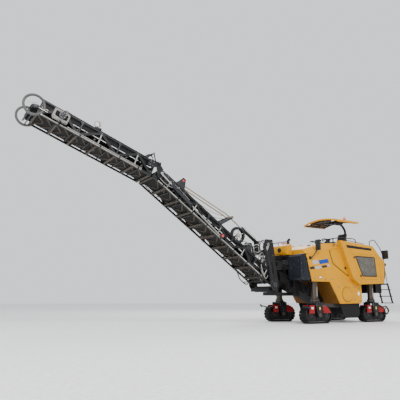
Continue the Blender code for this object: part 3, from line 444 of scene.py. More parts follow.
def beside(base, face):
    """Places an outline in X and Z upright beside a base, at the level of a side face."""
    return lambda x, z, y: base + Vector((x, face + y, z))


def flank(sign, face):
    """Places an outline in X and Z upright on one side, outward from a side face."""
    return lambda x, z, y: Vector((x, sign * (face + y), z))


def hung(start, end, sag, count=14):
    """A hose or rope between two places with a sag."""
    start, end = Vector(start), Vector(end)
    path = []
    for i in range(count + 1):
        share = i / count
        path.append(start.lerp(end, share) - Vector((0, 0, sag * 4 * share * (1 - share))))
    return path


# ---- finishes ----------------------------------------------------------------------------------
class Graph:
    """The nodes of one finish, laid over each object's own coordinates."""

    def __init__(self, name, roughness, metallic=0.0, coat=0.0, specular=0.5):
        self.material = bpy.data.materials.new(name)
        self.material.use_nodes = True
        self.tree = self.material.node_tree
        self.shader = self.tree.nodes["Principled BSDF"]
        self.shader.inputs["Metallic"].default_value = metallic
        self.shader.inputs["Roughness"].default_value = roughness
        self.shader.inputs["Coat Weight"].default_value = coat
        self.shader.inputs["Coat Roughness"].default_value = 0.12
        self.shader.inputs["Specular IOR Level"].default_value = specular
        self.place = self.tree.nodes.new("ShaderNodeTexCoord").outputs["Object"]
        self.normal = None

    def stretched(self, scale):
        node = self.tree.nodes.new("ShaderNodeMapping")
        node.inputs["Scale"].default_value = scale
        self.tree.links.new(self.place, node.inputs["Vector"])
        return node.outputs["Vector"]

    def noise(self, scale, detail=4.0, rough=0.55, place=None):
        node = self.tree.nodes.new("ShaderNodeTexNoise")
        node.inputs["Scale"].default_value = scale
        node.inputs["Detail"].default_value = detail
        node.inputs["Roughness"].default_value = rough
        self.tree.links.new(place or self.place, node.inputs["Vector"])
        return node.outputs["Fac"]

    def cells(self, scale, feature="F1", place=None):
        node = self.tree.nodes.new("ShaderNodeTexVoronoi")
        node.feature = feature
        node.inputs["Scale"].default_value = scale
        self.tree.links.new(place or self.place, node.inputs["Vector"])
        return node.outputs["Distance"]

    def waves(self, scale, axis="X", distortion=0.0, place=None):
        node = self.tree.nodes.new("ShaderNodeTexWave")
        node.bands_direction = axis
        node.inputs["Scale"].default_value = scale
        node.inputs["Distortion"].default_value = distortion
        self.tree.links.new(place or self.place, node.inputs["Vector"])
        return node.outputs["Fac"]

    def height(self, low, high):
        """1 at the low height, 0 at the high one, by the object's own Z."""
        split = self.tree.nodes.new("ShaderNodeSeparateXYZ")
        self.tree.links.new(self.place, split.inputs["Vector"])
        return self.fit(split.outputs["Z"], high, low)

    def fit(self, value, low, high, to_low=0.0, to_high=1.0):
        node = self.tree.nodes.new("ShaderNodeMapRange")
        for name, number in zip(("From Min", "From Max", "To Min", "To Max"), (low, high, to_low, to_high)):
            node.inputs[name].default_value = number
        self.tree.links.new(value, node.inputs["Value"])
        return node.outputs["Result"]

    def times(self, a, b, operation="MULTIPLY"):
        node = self.tree.nodes.new("ShaderNodeMath")
        node.operation = operation
        for socket, value in zip(node.inputs, (a, b)):
            if isinstance(value, (int, float)):
                socket.default_value = value
            else:
                self.tree.links.new(value, socket)
        return node.outputs["Value"]

    def mix(self, share, a, b):
        node = self.tree.nodes.new("ShaderNodeMix")
        node.data_type = "RGBA"
        sockets = [s for s in node.inputs if s.type == "RGBA"]
        self.tree.links.new(share, node.inputs[0])
        for socket, value in zip(sockets, (a, b)):
            if isinstance(value, (tuple, list)):
                socket.default_value = (*value[:3], 1.0)
            else:
                self.tree.links.new(value, socket)
        return [s for s in node.outputs if s.type == "RGBA"][0]

    def colour(self, output):
        self.tree.links.new(output, self.shader.inputs["Base Color"])

    def gloss(self, output):
        self.tree.links.new(output, self.shader.inputs["Roughness"])

    def bump(self, value, strength, distance):
        node = self.tree.nodes.new("ShaderNodeBump")
        node.inputs["Strength"].default_value = strength
        node.inputs["Distance"].default_value = distance
        self.tree.links.new(value, node.inputs["Height"])
        if self.normal:
            self.tree.links.new(self.normal, node.inputs["Normal"])
        self.normal = node.outputs["Normal"]
        self.tree.links.new(self.normal, self.shader.inputs["Normal"])


def shade(colour, share):
    return tuple(min(1.0, c * share) for c in colour)


DUST = (0.15, 0.115, 0.08)


def enamel(name, colour, roughness=0.34, coat=0.12, dirt=0.2, dirt_low=0.3, dirt_high=2.2):
    """Sprayed enamel: slight colour drift, orange peel, streaks, and dirt that thickens low down."""
    graph = Graph(name, roughness, coat=coat, specular=0.14)
    drift = graph.fit(graph.noise(1.7, 5.0), 0.3, 0.7)
    base = graph.mix(drift, shade(colour, 0.93), shade(colour, 1.05))
    streak = graph.fit(graph.noise(3.0, 6.0, 0.65, graph.stretched((5.0, 5.0, 0.45))), 0.52, 0.78, 0.0, 0.3)
    base = graph.mix(streak, base, shade(colour, 0.66))
    low = graph.height(dirt_low, dirt_high)
    grime = graph.times(graph.fit(graph.noise(7.0, 8.0, 0.7), 0.38, 0.72), low)
    grime = graph.times(grime, dirt)
    base = graph.mix(grime, base, DUST)
    chips = graph.fit(graph.noise(38.0, 3.0, 0.5), 0.73, 0.76, 0.0, 0.8)
    chips = graph.times(chips, graph.fit(graph.noise(2.3, 2.0), 0.5, 0.62))
    graph.colour(graph.mix(chips, base, (0.09, 0.075, 0.06)))
    graph.gloss(graph.fit(graph.times(grime, streak, "ADD"), 0.0, 0.5, roughness, 0.72))
    graph.bump(graph.noise(210.0, 2.0), 0.05, 0.002)
    graph.bump(chips, 0.25, -0.0006)
    return graph.material


def steel_plate(name, colour, roughness=0.42, dust=0.35, metallic=0.0):
    """Black or grey coated steelwork with rubbed patches, welded-on dust and a little rust."""
    graph = Graph(name, roughness, metallic, specular=0.28)
    base = graph.mix(graph.fit(graph.noise(4.0, 6.0), 0.3, 0.7), shade(colour, 0.75), shade(colour, 1.35))
    settled = graph.times(graph.fit(graph.noise(11.0, 8.0, 0.72), 0.45, 0.75), dust)
    base = graph.mix(settled, base, DUST)
    rust = graph.fit(graph.noise(21.0, 6.0, 0.68), 0.7, 0.78, 0.0, 0.45)
    graph.colour(graph.mix(rust, base, (0.13, 0.058, 0.026)))
    graph.gloss(graph.fit(settled, 0.0, 0.3, roughness, 0.8))
    graph.bump(graph.noise(95.0, 4.0), 0.12, 0.002)
    return graph.material


def bare_metal(name, colour, roughness, scratch=0.18, stain=0.3, stain_colour=(0.09, 0.06, 0.04)):
    graph = Graph(name, roughness, 1.0)
    lines = graph.noise(60.0, 3.0, 0.6, graph.stretched((9.0, 9.0, 0.5)))
    marks = graph.times(graph.fit(graph.noise(6.0, 8.0, 0.7), 0.5, 0.72), stain)
    base = graph.mix(graph.fit(lines, 0.3, 0.7), shade(colour, 0.85), shade(colour, 1.1))
    graph.colour(graph.mix(marks, base, stain_colour))
    graph.gloss(graph.fit(lines, 0.3, 0.7, roughness - scratch / 3, roughness + scratch))
    graph.bump(lines, 0.08, 0.001)
    return graph.material


def rubber(name, colour, roughness=0.8, dust=0.4, grain=120.0, strength=0.3):
    graph = Graph(name, roughness, specular=0.2)
    settled = graph.times(graph.fit(graph.noise(9.0, 9.0, 0.75), 0.42, 0.75), dust)
    base = graph.mix(graph.fit(graph.noise(3.0, 5.0), 0.3, 0.7), shade(colour, 0.7), shade(colour, 1.3))
    graph.colour(graph.mix(settled, base, DUST))
    graph.gloss(graph.fit(settled, 0.0, 0.4, roughness - 0.12, 0.95))
    graph.bump(graph.noise(grain, 5.0, 0.6), strength, 0.003)
    return graph.material


def plastic(name, colour, roughness=0.35, coat=0.0):
    graph = Graph(name, roughness, coat=coat)
    fade = graph.fit(graph.noise(14.0, 5.0), 0.35, 0.7)
    graph.colour(graph.mix(fade, shade(colour, 0.88), shade(colour, 1.06)))
    graph.gloss(graph.fit(graph.noise(45.0, 4.0), 0.3, 0.7, roughness - 0.06, roughness + 0.12))
    graph.bump(graph.noise(320.0, 2.0), 0.08, 0.001)
    return graph.material


def glass(name, colour, roughness=0.06, metallic=0.0, glow=0.0):
    graph = Graph(name, roughness, metallic, coat=1.0)
    haze = graph.fit(graph.noise(25.0, 6.0, 0.7), 0.4, 0.75)
    graph.colour(graph.mix(haze, colour, shade(colour, 0.8)))
    graph.gloss(graph.fit(haze, 0.0, 1.0, roughness, roughness + 0.14))
    graph.shader.inputs["Emission Color"].default_value = (*colour, 1.0)
    graph.shader.inputs["Emission Strength"].default_value = glow
    return graph.material


def vinyl(name, colour):
    graph = Graph(name, 0.5, coat=0.1)
    grain = graph.cells(190.0, "DISTANCE_TO_EDGE")
    graph.colour(graph.mix(graph.fit(graph.noise(8.0, 6.0), 0.35, 0.7), shade(colour, 0.8),
        shade(colour, 1.4)))
    graph.gloss(graph.fit(graph.noise(20.0, 5.0), 0.3, 0.7, 0.42, 0.62))
    graph.bump(graph.fit(grain, 0.0, 0.25), 0.35, 0.0012)
    return graph.material


def chequer(name, colour):
    """Tread plate with crossed raised bars."""
    graph = Graph(name, 0.45, 0.7)
    bars = graph.times(graph.waves(9.0, "DIAGONAL"), graph.waves(9.0, "X", 0.4), "MAXIMUM")
    dust = graph.fit(graph.noise(12.0, 8.0, 0.7), 0.45, 0.75, 0.0, 0.6)
    graph.colour(graph.mix(dust, colour, DUST))
    graph.bump(graph.fit(bars, 0.78, 0.9), 0.6, 0.004)
    return graph.material


FINISHES = {
    "machine_yellow": lambda name: enamel(name, tuple(look().paint), 0.36, 0.03, 0.06),
    # The body yellow darkened to brown for the drum housing: painted shade for the shadow under the body.
    "housing_yellow": lambda name: enamel(name, (0.16, 0.062, 0.004), 0.5, 0.0, 0.3, 0.4, 1.9),
    "graphite_paint": lambda name: enamel(name, tuple(look().dark_paint), 0.34, 0.1, 0.08, 1.2, 2.6),
    "guard_red": lambda name: enamel(name, tuple(look().guard_paint), 0.3, 0.2, 0.25, 0.0, 0.9),
    "stripe_blue": lambda name: enamel(name, (0.002, 0.055, 0.3), 0.3, 0.1, 0.1),
    "stripe_pale": lambda name: enamel(name, (0.42, 0.41, 0.4), 0.35, 0.1, 0.1),
    "stripe_dark": lambda name: enamel(name, (0.03, 0.024, 0.022), 0.4, 0.1, 0.1),
    "frame_black": lambda name: steel_plate(name, (0.006, 0.0062, 0.007), 0.42, 0.07),
    "hoop_grey": lambda name: steel_plate(name, (0.075, 0.075, 0.075), 0.4, 0.3),
    "skid_black": lambda name: steel_plate(name, (0.003, 0.003, 0.0032), 0.62, 0.02),
    "frame_grey": lambda name: steel_plate(name, (0.018, 0.02, 0.024), 0.38, 0.08),
    "tube_grey": lambda name: steel_plate(name, (0.26, 0.25, 0.23), 0.36, 0.12),
    "rope_brown": lambda name: steel_plate(name, (0.34, 0.27, 0.19), 0.5, 0.3),
    "rib_brown": lambda name: steel_plate(name, (0.05, 0.041, 0.033), 0.55, 0.25),
    "leg_steel": lambda name: bare_metal(name, (0.085, 0.072, 0.058), 0.36, 0.25, 0.6),
    "bright_steel": lambda name: bare_metal(name, (0.62, 0.6, 0.57), 0.2, 0.1, 0.1),
    "bolt_steel": lambda name: bare_metal(name, (0.3, 0.29, 0.28), 0.38, 0.2, 0.5),
    "pick_steel": lambda name: bare_metal(name, (0.25, 0.23, 0.21), 0.45, 0.3, 0.5, (0.14, 0.09, 0.05)),
    "drum_steel": lambda name: bare_metal(name, (0.2, 0.185, 0.17), 0.55, 0.3, 0.7, (0.12, 0.08, 0.05)),
    "conveyor_belt": lambda name: rubber(name, (0.0035, 0.0033, 0.0031), 0.85, 0.05, 90.0, 0.25),
    # Cleats lighter brown than the belt: partly dust on the rubber, partly painted highlight on the chevrons.
    "belt_cleat": lambda name: rubber(name, (0.05, 0.04, 0.03), 0.8, 0.25, 70.0, 0.3),
    "pad_rubber": lambda name: rubber(name, (0.0045, 0.0045, 0.005), 0.66, 0.07, 60.0, 0.4),
    "hose_rubber": lambda name: rubber(name, (0.005, 0.005, 0.0055), 0.5, 0.06, 160.0, 0.2),
    "black_plastic": lambda name: plastic(name, (0.007, 0.007, 0.008), 0.4),
    "orange_plastic": lambda name: plastic(name, (0.8, 0.13, 0.02), 0.3, 0.4),
    "yellow_plate": lambda name: plastic(name, (0.85, 0.62, 0.03), 0.4, 0.2),
    "white_plastic": lambda name: plastic(name, (0.75, 0.75, 0.72), 0.35, 0.2),
    # Faint glow for the lamp lenses; the reflectors and gauge needles that take this finish glow as well, which is
    # painted light.
    "red_lens": lambda name: glass(name, (0.55, 0.02, 0.015), 0.12, 0.0, 0.15),
    "lamp_lens": lambda name: glass(name, (0.85, 0.85, 0.82), 0.08, 0.0, 0.35),
    "mirror_glass": lambda name: glass(name, (0.75, 0.78, 0.8), 0.03, 1.0),
    "gauge_face": lambda name: plastic(name, (0.7, 0.7, 0.68), 0.3, 0.5),
    "grille_wire": lambda name: steel_plate(name, (0.15, 0.145, 0.125), 0.5, 0.35),
    # Near-black for openings, holes and gaps: painted shade behind the door grille, in the fold plates' holes and
    # between the canopy's lining ribs.
    "grille_void": lambda name: rubber(name, (0.004, 0.004, 0.004), 0.9, 0.05),
    "seat_vinyl": lambda name: vinyl(name, (0.009, 0.009, 0.01)),
    "engine_cast": lambda name: steel_plate(name, (0.035, 0.035, 0.035), 0.6, 0.3, 0.4),
    "tread_plate": lambda name: chequer(name, (0.16, 0.16, 0.165)),
    "floor_pale": lambda name: plastic(name, (0.86, 0.86, 0.86), 0.7),
}


def finish_of(name):
    return bpy.data.materials.get(name) or FINISHES[name](name)


# ---- settings ------------------------------------------------------------------------------------
class PlanerLook(bpy.types.PropertyGroup):
    paint: FloatVectorProperty(name="Body paint", description="Colour of the yellow bodywork",
        subtype="COLOR", size=3, min=0.0, max=1.0, default=(0.62, 0.275, 0.0))
    dark_paint: FloatVectorProperty(name="Box paint", description="Colour of the dark front boxes",
        subtype="COLOR", size=3, min=0.0, max=1.0, default=(0.01, 0.013, 0.019))
    guard_paint: FloatVectorProperty(name="Guard paint", description="Colour of the track guards",
        subtype="COLOR", size=3, min=0.0, max=1.0, default=(0.28, 0.001, 0.004))
    edge: FloatProperty(name="Plate edge", description="Rounding of the edges of folded sheet metal",
        default=0.005, min=0.001, max=0.02, unit="LENGTH")


class PlanerTracks(bpy.types.PropertyGroup):
    shoes: IntProperty(name="Shoes", description="Shoes on each track", default=28, min=16, max=40)
    pad: FloatProperty(name="Pad height", description="Height of the rubber pad on each shoe",
        default=0.036, min=0.01, max=0.05, unit="LENGTH")


class PlanerDrum(bpy.types.PropertyGroup):
    starts: IntProperty(name="Starts", description="Helical rows of picks from each end", default=4, min=2,
        max=8)
    pitch: FloatProperty(name="Pick pitch", description="Distance between picks along the drum",
        default=0.03, min=0.015, max=0.06, unit="LENGTH")


class PlanerConveyor(bpy.types.PropertyGroup):
    cleat_pitch: FloatProperty(name="Cleat pitch", description="Distance between the belt's cleats",
        default=0.26, min=0.1, max=0.6, unit="LENGTH")
    idler_pitch: FloatProperty(name="Idler pitch", description="Distance between carrying idlers",
        default=0.52, min=0.3, max=1.2, unit="LENGTH")


def look():
    return bpy.context.scene.planer_look


# ---- finish of the frame's own nodes ---------------------------------------------------------------
NODE_FINISH = {
    "side_panel": "machine_yellow", "service_flap": "machine_yellow", "hood": "machine_yellow",
    "rear_body": "machine_yellow", "rear_box": "machine_yellow", "grille_door": "machine_yellow",
    "front_cover": "machine_yellow", "canopy_post": "frame_black", "canopy": "machine_yellow",
    # The drum housing takes the darkened yellow, painted shade for the shadow it sits in.
    "drum_housing": "housing_yellow", "front_box": "graphite_paint", "main_frame": "frame_black",
    "intake_conveyor": "skid_black", "engine": "engine_cast", "operator_seat": "seat_vinyl",
    "handrail": "frame_grey", "ladder": "frame_black", "mirror": "black_plastic",
    "rear_mirror": "black_plastic", "milling_drum": "drum_steel", "scraper": "frame_black",
    "side_skid": "skid_black", "yoke": "frame_black", "lower_frame": "frame_black",
    "lower_belt": "conveyor_belt", "rocker": "frame_grey", "stay_rope": "bright_steel",
    "luff_barrel": "frame_black", "luff_rod": "bright_steel", "upper_frame": "frame_black",
    "upper_belt": "conveyor_belt", "drive_motor": "tube_grey", "fold_barrel": "frame_grey",
    "fold_rod": "bright_steel", "leg": "leg_steel", "track_frame": "frame_black",
    "track_guard": "guard_red", "track": "pad_rubber",
}
SHEET_METAL = ("side_panel", "service_flap", "hood", "rear_body", "rear_box", "grille_door", "canopy",
    "track_guard", "drum_housing", "yoke", "front_box", "front_cover")


def family(node):
    return max((key for key in NODE_FINISH if node.startswith(key)), key=len)


class PLANER_OT_frame_finish(bpy.types.Operator):
    """Gives every node of the frame its finish, and rounds the edges of its sheet metal"""

    bl_idname = "planer.frame_finish"
    bl_label = "Frame finish"

    def execute(self, context):
        for name, node in frame["nodes"].items():
            kind = family(name)
            for slot in node.material_slots:
                slot.material = finish_of(NODE_FINISH[kind])
            if kind not in SHEET_METAL or name == "canopy_post":
                continue
            weld = node.modifiers.new("weld", "WELD")
            weld.merge_threshold = 0.0002
            bevel = node.modifiers.new("edge", "BEVEL")
            bevel.width = look().edge
            bevel.segments = 2
            bevel.limit_method = "ANGLE"
            bevel.angle_limit = math.radians(28)
            node.modifiers.new("shading", "WEIGHTED_NORMAL").keep_sharp = False
        return {"FINISHED"}


# ---- tracks ------------------------------------------------------------------------------------------
def loop_place(distance, radius, straight):
    """Place and outward normal at a distance along a track loop centred on the origin."""
    bend = math.pi * radius
    distance %= 2 * straight + 2 * bend
    if distance < straight:
        return Vector((-straight / 2 + distance, 0, -radius)), Vector((0, 0, -1))
    distance -= straight
    if distance < bend:
        angle = distance / radius - math.pi / 2
        out = Vector((math.cos(angle), 0, math.sin(angle)))
        return Vector((straight / 2, 0, 0)) + out * radius, out
    distance -= bend
    if distance < straight:
        return Vector((straight / 2 - distance, 0, radius)), Vector((0, 0, 1))
    angle = (distance - straight) / radius + math.pi / 2
    out = Vector((math.cos(angle), 0, math.sin(angle)))
    return Vector((-straight / 2, 0, 0)) + out * radius, out


def track_chain(name, centre):
    """Linked shoes with bolted rubber pads, round one track."""
    settings = bpy.context.scene.planer_tracks
    outer = TRACK_HEIGHT / 2
    straight = TRACK_LENGTH - TRACK_HEIGHT
    shoe_radius = outer - settings.pad - 0.006
    pitch = (2 * straight + 2 * math.pi * shoe_radius) / settings.shoes
    shape = Shape(f"chain_{name}", "pad_rubber")
    half = TRACK_HALF - 0.002
    for i in range(settings.shoes):
        spot, out = loop_place((i + 0.3) * pitch, shoe_radius, straight)
        along = Vector((0, 1, 0)).cross(out)
        turn = Matrix((along, Vector((0, 1, 0)), out)).transposed().to_4x4()
        shape.at(Matrix.Translation(centre + spot) @ turn)
        wide = pitch * 0.44
        shape.use("pad_rubber").plate([(-wide, 0.008), (-wide * 0.82, settings.pad),
            (wide * 0.82, settings.pad), (wide, 0.008)], -half + 0.004, half - 0.004, chamfer=0.003)
        shape.block((-wide * 0.22, -half + 0.01, settings.pad), (wide * 0.22, half - 0.01,
            settings.pad + 0.005))
        shape.use("frame_black").block((-pitch * 0.49, -half, -0.006), (pitch * 0.49, half, 0.009), 0.002)
        shape.use("bolt_steel")
        for y in (-0.112, 0.112):
            shape.bolt((0, y, settings.pad - 0.006), (0, 0, 1), 0.008, False)
        for y in (-0.055, 0.055):
            shape.block((-pitch * 0.47, y - 0.012, -0.03), (pitch * 0.47, y + 0.012, -0.005), 0.003)
        shape.rod((pitch * 0.47, -0.075, -0.018), (pitch * 0.47, 0.075, -0.018), 0.008, 8)
    shape.at()
    return shape.done(f"track_{name}", "tread")


def track_wheels(name, centre):
    """Idler, toothed sprocket, rollers and hub covers seen inside one track loop."""
    shape = Shape(f"wheels_{name}", "frame_black")
    straight = TRACK_LENGTH - TRACK_HEIGHT
    inner = TRACK_HEIGHT / 2 - 0.08
    for x, teeth in ((straight / 2, 0), (-straight / 2, 17)):
        for side in (-1, 1):
            hub = centre + Vector((x, side * 0.101, 0))
            shape.use("frame_black").turned(hub, (0, side, 0), [(0.0, inner), (0.012, inner),
                (0.018, inner - 0.008), (0.018, inner - 0.03), (0.006, inner - 0.045), (0.006, 0.085),
                (0.026, 0.075), (0.034, 0.06), (0.038, 0.045), (0.04, 0.0005)], 32)
            shape.use("bolt_steel")
            for u, v in around(8, 0.068):
                spot = hub + Vector((u, side * 0.028, v))
                shape.bolt(spot, (0, side, 0), 0.008, False)
            for k in range(teeth):
                angle = 2 * math.pi * k / teeth
                turn = Matrix.Translation(hub) @ Matrix.Rotation(-angle, 4, "Y")
                shape.use("frame_black").at(turn).block((inner - 0.01, -0.008, -0.011),
                    (inner + 0.01, 0.01, 0.011))
            shape.at()
    for k in range(3):
        x = (k - 1) * 0.235
        for side in (-1, 1):
            spot = centre + Vector((x, side * 0.1005, -0.12))
            shape.use("frame_black").turned(spot, (0, side, 0), [(0.0, 0.075), (0.014, 0.075),
                (0.02, 0.068), (0.02, 0.045), (0.01, 0.04), (0.012, 0.026), (0.024, 0.022),
                (0.026, 0.0005)], 24)
    return shape.done(f"track_{name}", "graphite")


def fork_fittings(name, centre, sign):
    """Blank plate, pivot cap and bolts on the fork, and the bolts of the red guards."""
    shape = Shape(f"fork_fittings_{name}", "bolt_steel")
    base = Vector((centre.x, centre.y, 0))
    for side in (-1, 1):
        face = side * (TRACK_HALF + 0.055)
        hub = base + Vector((0, face, TRACK_HEIGHT / 2))
        shape.use("rib_brown").turned(hub, (0, side, 0), [(0.0, 0.058), (0.01, 0.058), (0.014, 0.052),
            (0.014, 0.03), (0.02, 0.026), (0.022, 0.0005)], 24)
        shape.use("bolt_steel")
        for u, v in around(6, 0.042):
            shape.bolt(hub + Vector((u, side * 0.013, v)), (0, side, 0), 0.0065, False)
        for x in (-0.13, 0.13):
            for z in (0.585, 0.635):
                shape.bolt(base + Vector((x, face, z)), (0, side, 0), 0.011)
        shape.use("frame_grey").plate([(-0.03, 0.36), (0.03, 0.36), (0.075, 0.555), (-0.075, 0.555)], 0.0,
            0.007, side, beside(base, face), 0.002)
        if side == sign:
            shape.use("yellow_plate").block(base + Vector((-0.024, face, 0.45)),
                base + Vector((0.024, face + side * 0.01, 0.535)), 0.002)
        guard = side * (TRACK_HALF + 0.0185)
        shape.use("bolt_steel")
        for x, z in ((0.23, 0.56), (0.37, 0.56), (0.23, 0.36), (0.41, 0.36), (-0.22, 0.56), (-0.3, 0.56),
                (-0.22, 0.37), (-0.49, 0.37)):
            shape.bolt(base + Vector((x, guard, z)), (0, side, 0), 0.01)
        shape.use("guard_red").plate([(0.215, 0.42), (0.225, 0.345), (0.425, 0.345), (0.415, 0.42)], 0.0,
            0.008, side, beside(base, guard), 0.003)
        shape.plate([(-0.205, 0.43), (-0.21, 0.355), (-0.52, 0.355), (-0.45, 0.43)], 0.0, 0.008, side,
            beside(base, guard), 0.003)
        # White block on each red guard: partly a blank sticker, partly painted highlight on the guard.
        shape.use("white_plastic").block(base + Vector((0.245, guard, 0.47)),
            base + Vector((0.345, guard + side * 0.006, 0.535)), 0.002)
    out = sign * (TRACK_HALF + 0.045)
    if centre.x > 0:
        shape.use("frame_grey").bar(base + Vector((0.4, out, 0.5)), base + Vector((0.72, out, 0.56)), 0.03,
            0.04, 0.006)
        shape.use("frame_black").bar(base + Vector((0.7, out - 0.05, 0.6)),
            base + Vector((0.7, out + 0.05, 0.52)), 0.03, 0.05, 0.006)
    else:
        shape.use("hose_rubber").sweep(eased([base + Vector((-0.1, out + sign * 0.02, 0.62)),
            base + Vector((-0.34, out + sign * 0.03, 0.52)), base + Vector((-0.6, out, 0.56)),
            base + Vector((-0.7, out, 0.36)), base + Vector((-0.56, out, 0.24)),
            base + Vector((-0.44, out, 0.34))], 0.09), 0.022, 10)
        shape.use("rib_brown").hoop(base + Vector((-0.6, out, 0.4)), (0, 1, 0), 0.105, 0.02, 28, 10)
    return shape.done(f"track_{name}", "graphite")


def steering_ram(name, centre, sign):
    """Steering arm and a ring of bolts on top of the fork."""
    shape = Shape(f"steering_{name}", "frame_black")
    base = Vector((centre.x, centre.y, 0))
    top = TRACK_HEIGHT + 0.13
    ahead = -1 if name.startswith("front") else 1
    arm = base + Vector((ahead * 0.1, -sign * 0.16, top + 0.014))
    shape.bar(arm - Vector((0, sign * -0.02, 0)), base + Vector((ahead * 0.15, 0, top + 0.014)), 0.08,
        0.026, 0.004)
    shape.use("bolt_steel")
    for u, v in around(10, 0.155):
        shape.bolt(base + Vector((u, v, top + 0.001)), (0, 0, 1), 0.01, False)
    return shape.done(f"track_{name}", "graphite")


def leg_fittings(name, centre, sign):
    """Clamp collar, flange bolts, height pipe and a marked scale on one lifting leg; the scale's pale strip is also a
    painted highlight down the leg.
    """
    shape = Shape(f"leg_fittings_{name}", "bolt_steel")
    base = Vector((centre.x, centre.y, 0))
    crown = TRACK_HEIGHT + 0.16
    for u, v in around(12, 0.128, 0.5):
        shape.bolt(base + Vector((u, v, crown + 0.05)), (0, 0, 1), 0.01, False)
    shape.use("frame_black").turned(base + Vector((0, 0, crown + 0.052)), (0, 0, 1),
        [(0.0, 0.111), (0.0, 0.122), (0.03, 0.122), (0.038, 0.111)], 32)
    # Pale strip of the scale: partly the scale, partly painted highlight down the leg.
    shape.use("tube_grey")
    shape.block(base + Vector((-0.018, sign * 0.108 - 0.004, 0.88)),
        base + Vector((0.018, sign * 0.108 + 0.005, 1.2)))
    shape.use("black_plastic")
    for k in range(14):
        z = 0.89 + k * 0.0225
        reach = 0.014 if k % 4 == 0 else 0.008
        shape.block(base + Vector((-0.016, sign * 0.1135 - 0.001, z)), base + Vector((-0.016 + reach,
            sign * 0.1135 + 0.001, z + 0.004)))
    return shape.done(f"leg_{name}", "steel")


def leg_sleeve(name, centre):
    """Fixed wear ring and bolts under the frame beam where the leg slides."""
    shape = Shape(f"leg_sleeve_{name}", "frame_black")
    base = Vector((centre.x, centre.y, 1.42))
    shape.turned(base, (0, 0, -1), [(0.0, 0.15), (0.03, 0.15), (0.036, 0.14), (0.036, 0.1125),
        (0.0, 0.1125)], 32)
    shape.use("bolt_steel")
    for u, v in around(8, 0.132):
        shape.bolt(base + Vector((u, v, -0.035)), (0, 0, -1), 0.009, False)
    return shape.done("chassis", "black")


class PLANER_OT_tracks(bpy.types.Operator):
    """Builds the four chains with their wheels, forks, legs and sleeves"""

    bl_idname = "planer.tracks"
    bl_label = "Tracks and legs"

    def execute(self, context):
        for end, ahead in ENDS.items():
            for side, sign in SIDES.items():
                name = f"{end}_{side}"
                centre = Vector((ahead * AXLE_X, sign * TRACK_Y, TRACK_HEIGHT / 2))
                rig.replaces(track_chain(name, centre), f"track_{name}")
                track_wheels(name, centre)
                fork_fittings(name, centre, sign)
                steering_ram(name, centre, sign)
                leg_fittings(name, centre, sign)
                leg_sleeve(name, centre)
        return {"FINISHED"}


# ---- milling drum ----------------------------------------------------------------------------------
class PLANER_OT_drum(bpy.types.Operator):
    """Sets picks in helical rows on the milling drum, with their holders and kicker plates"""

    bl_idname = "planer.drum"
    bl_label = "Milling drum"

    def execute(self, context):
        settings = context.scene.planer_drum
        radius = 0.42
        half = 0.6
        shape = Shape("drum_picks", "drum_steel")
        count = int(half / settings.pitch)
        for side in (-1, 1):
            for start in range(settings.starts):
                for k in range(count):
                    y = side * (half - k * settings.pitch)
                    angle = 2 * math.pi * start / settings.starts + k * 0.2
                    turn = (Matrix.Translation(Vector((DRUM.x, y, DRUM.z))) @ Matrix.Rotation(-angle, 4,
                        "Y") @ Matrix.Translation((radius - 0.004, 0, 0)))
                    shape.at(turn).use("drum_steel").bar((-0.006, 0, -0.014), (0.018, 0, 0.012), 0.024,
                        0.026)
                    shape.use("pick_steel").rod((0.008, 0, -0.004), (0.03, side * 0.003, 0.016), 0.01, 8,
                        0.006)
                    shape.use("bright_steel").rod((0.03, side * 0.003, 0.016), (0.038, side * 0.003, 0.023),
                        0.006, 8, 0.001)
        shape.at(Matrix.Identity(4)).use("drum_steel")
        for k in range(6):
            angle = 2 * math.pi * k / 6
            turn = Matrix.Translation(DRUM) @ Matrix.Rotation(-angle, 4, "Y")
            shape.at(turn).block((radius - 0.004, -0.1, -0.012), (radius + 0.026, 0.1, 0.012), 0.003)
        shape.at()
        for side in (-1, 1):
            for u, v in around(12, 0.24):
                spot = DRUM + Vector((u, side * 0.621, v))
                shape.use("bolt_steel").bolt(spot, (0, side, 0), 0.014)
        shape.done("drum", "drum_steel")
        return {"FINISHED"}


# ---- bodywork ------------------------------------------------------------------------------------------


STRIPES = (
    (2.02, 2.15, 1.28, 0.84, "stripe_blue"),
    (1.97, 2.09, 1.58, 1.34, "stripe_pale"),
    (1.79, 1.87, 1.71, 1.5, "stripe_dark"),
    (1.825, 1.905, 1.48, 1.18, "stripe_pale"),
    (1.865, 1.935, 1.16, 0.92, "stripe_dark"),
    (1.905, 1.965, 0.9, 0.78, "stripe_pale"),
)


def stripe(shape, sign, low, high, left, right, finish, lean=0.06):
    """A painted parallelogram on the side panel, between two lengths and two heights."""
    rise = -0.17
    outline = [(left, low + rise * (left - right)), (right, low), (right + lean, high),
        (left + lean, high + rise * (left - right))]
    shape.use(finish).plate(outline, PANEL_FACE - 0.001, PANEL_FACE + 0.0015, sign)


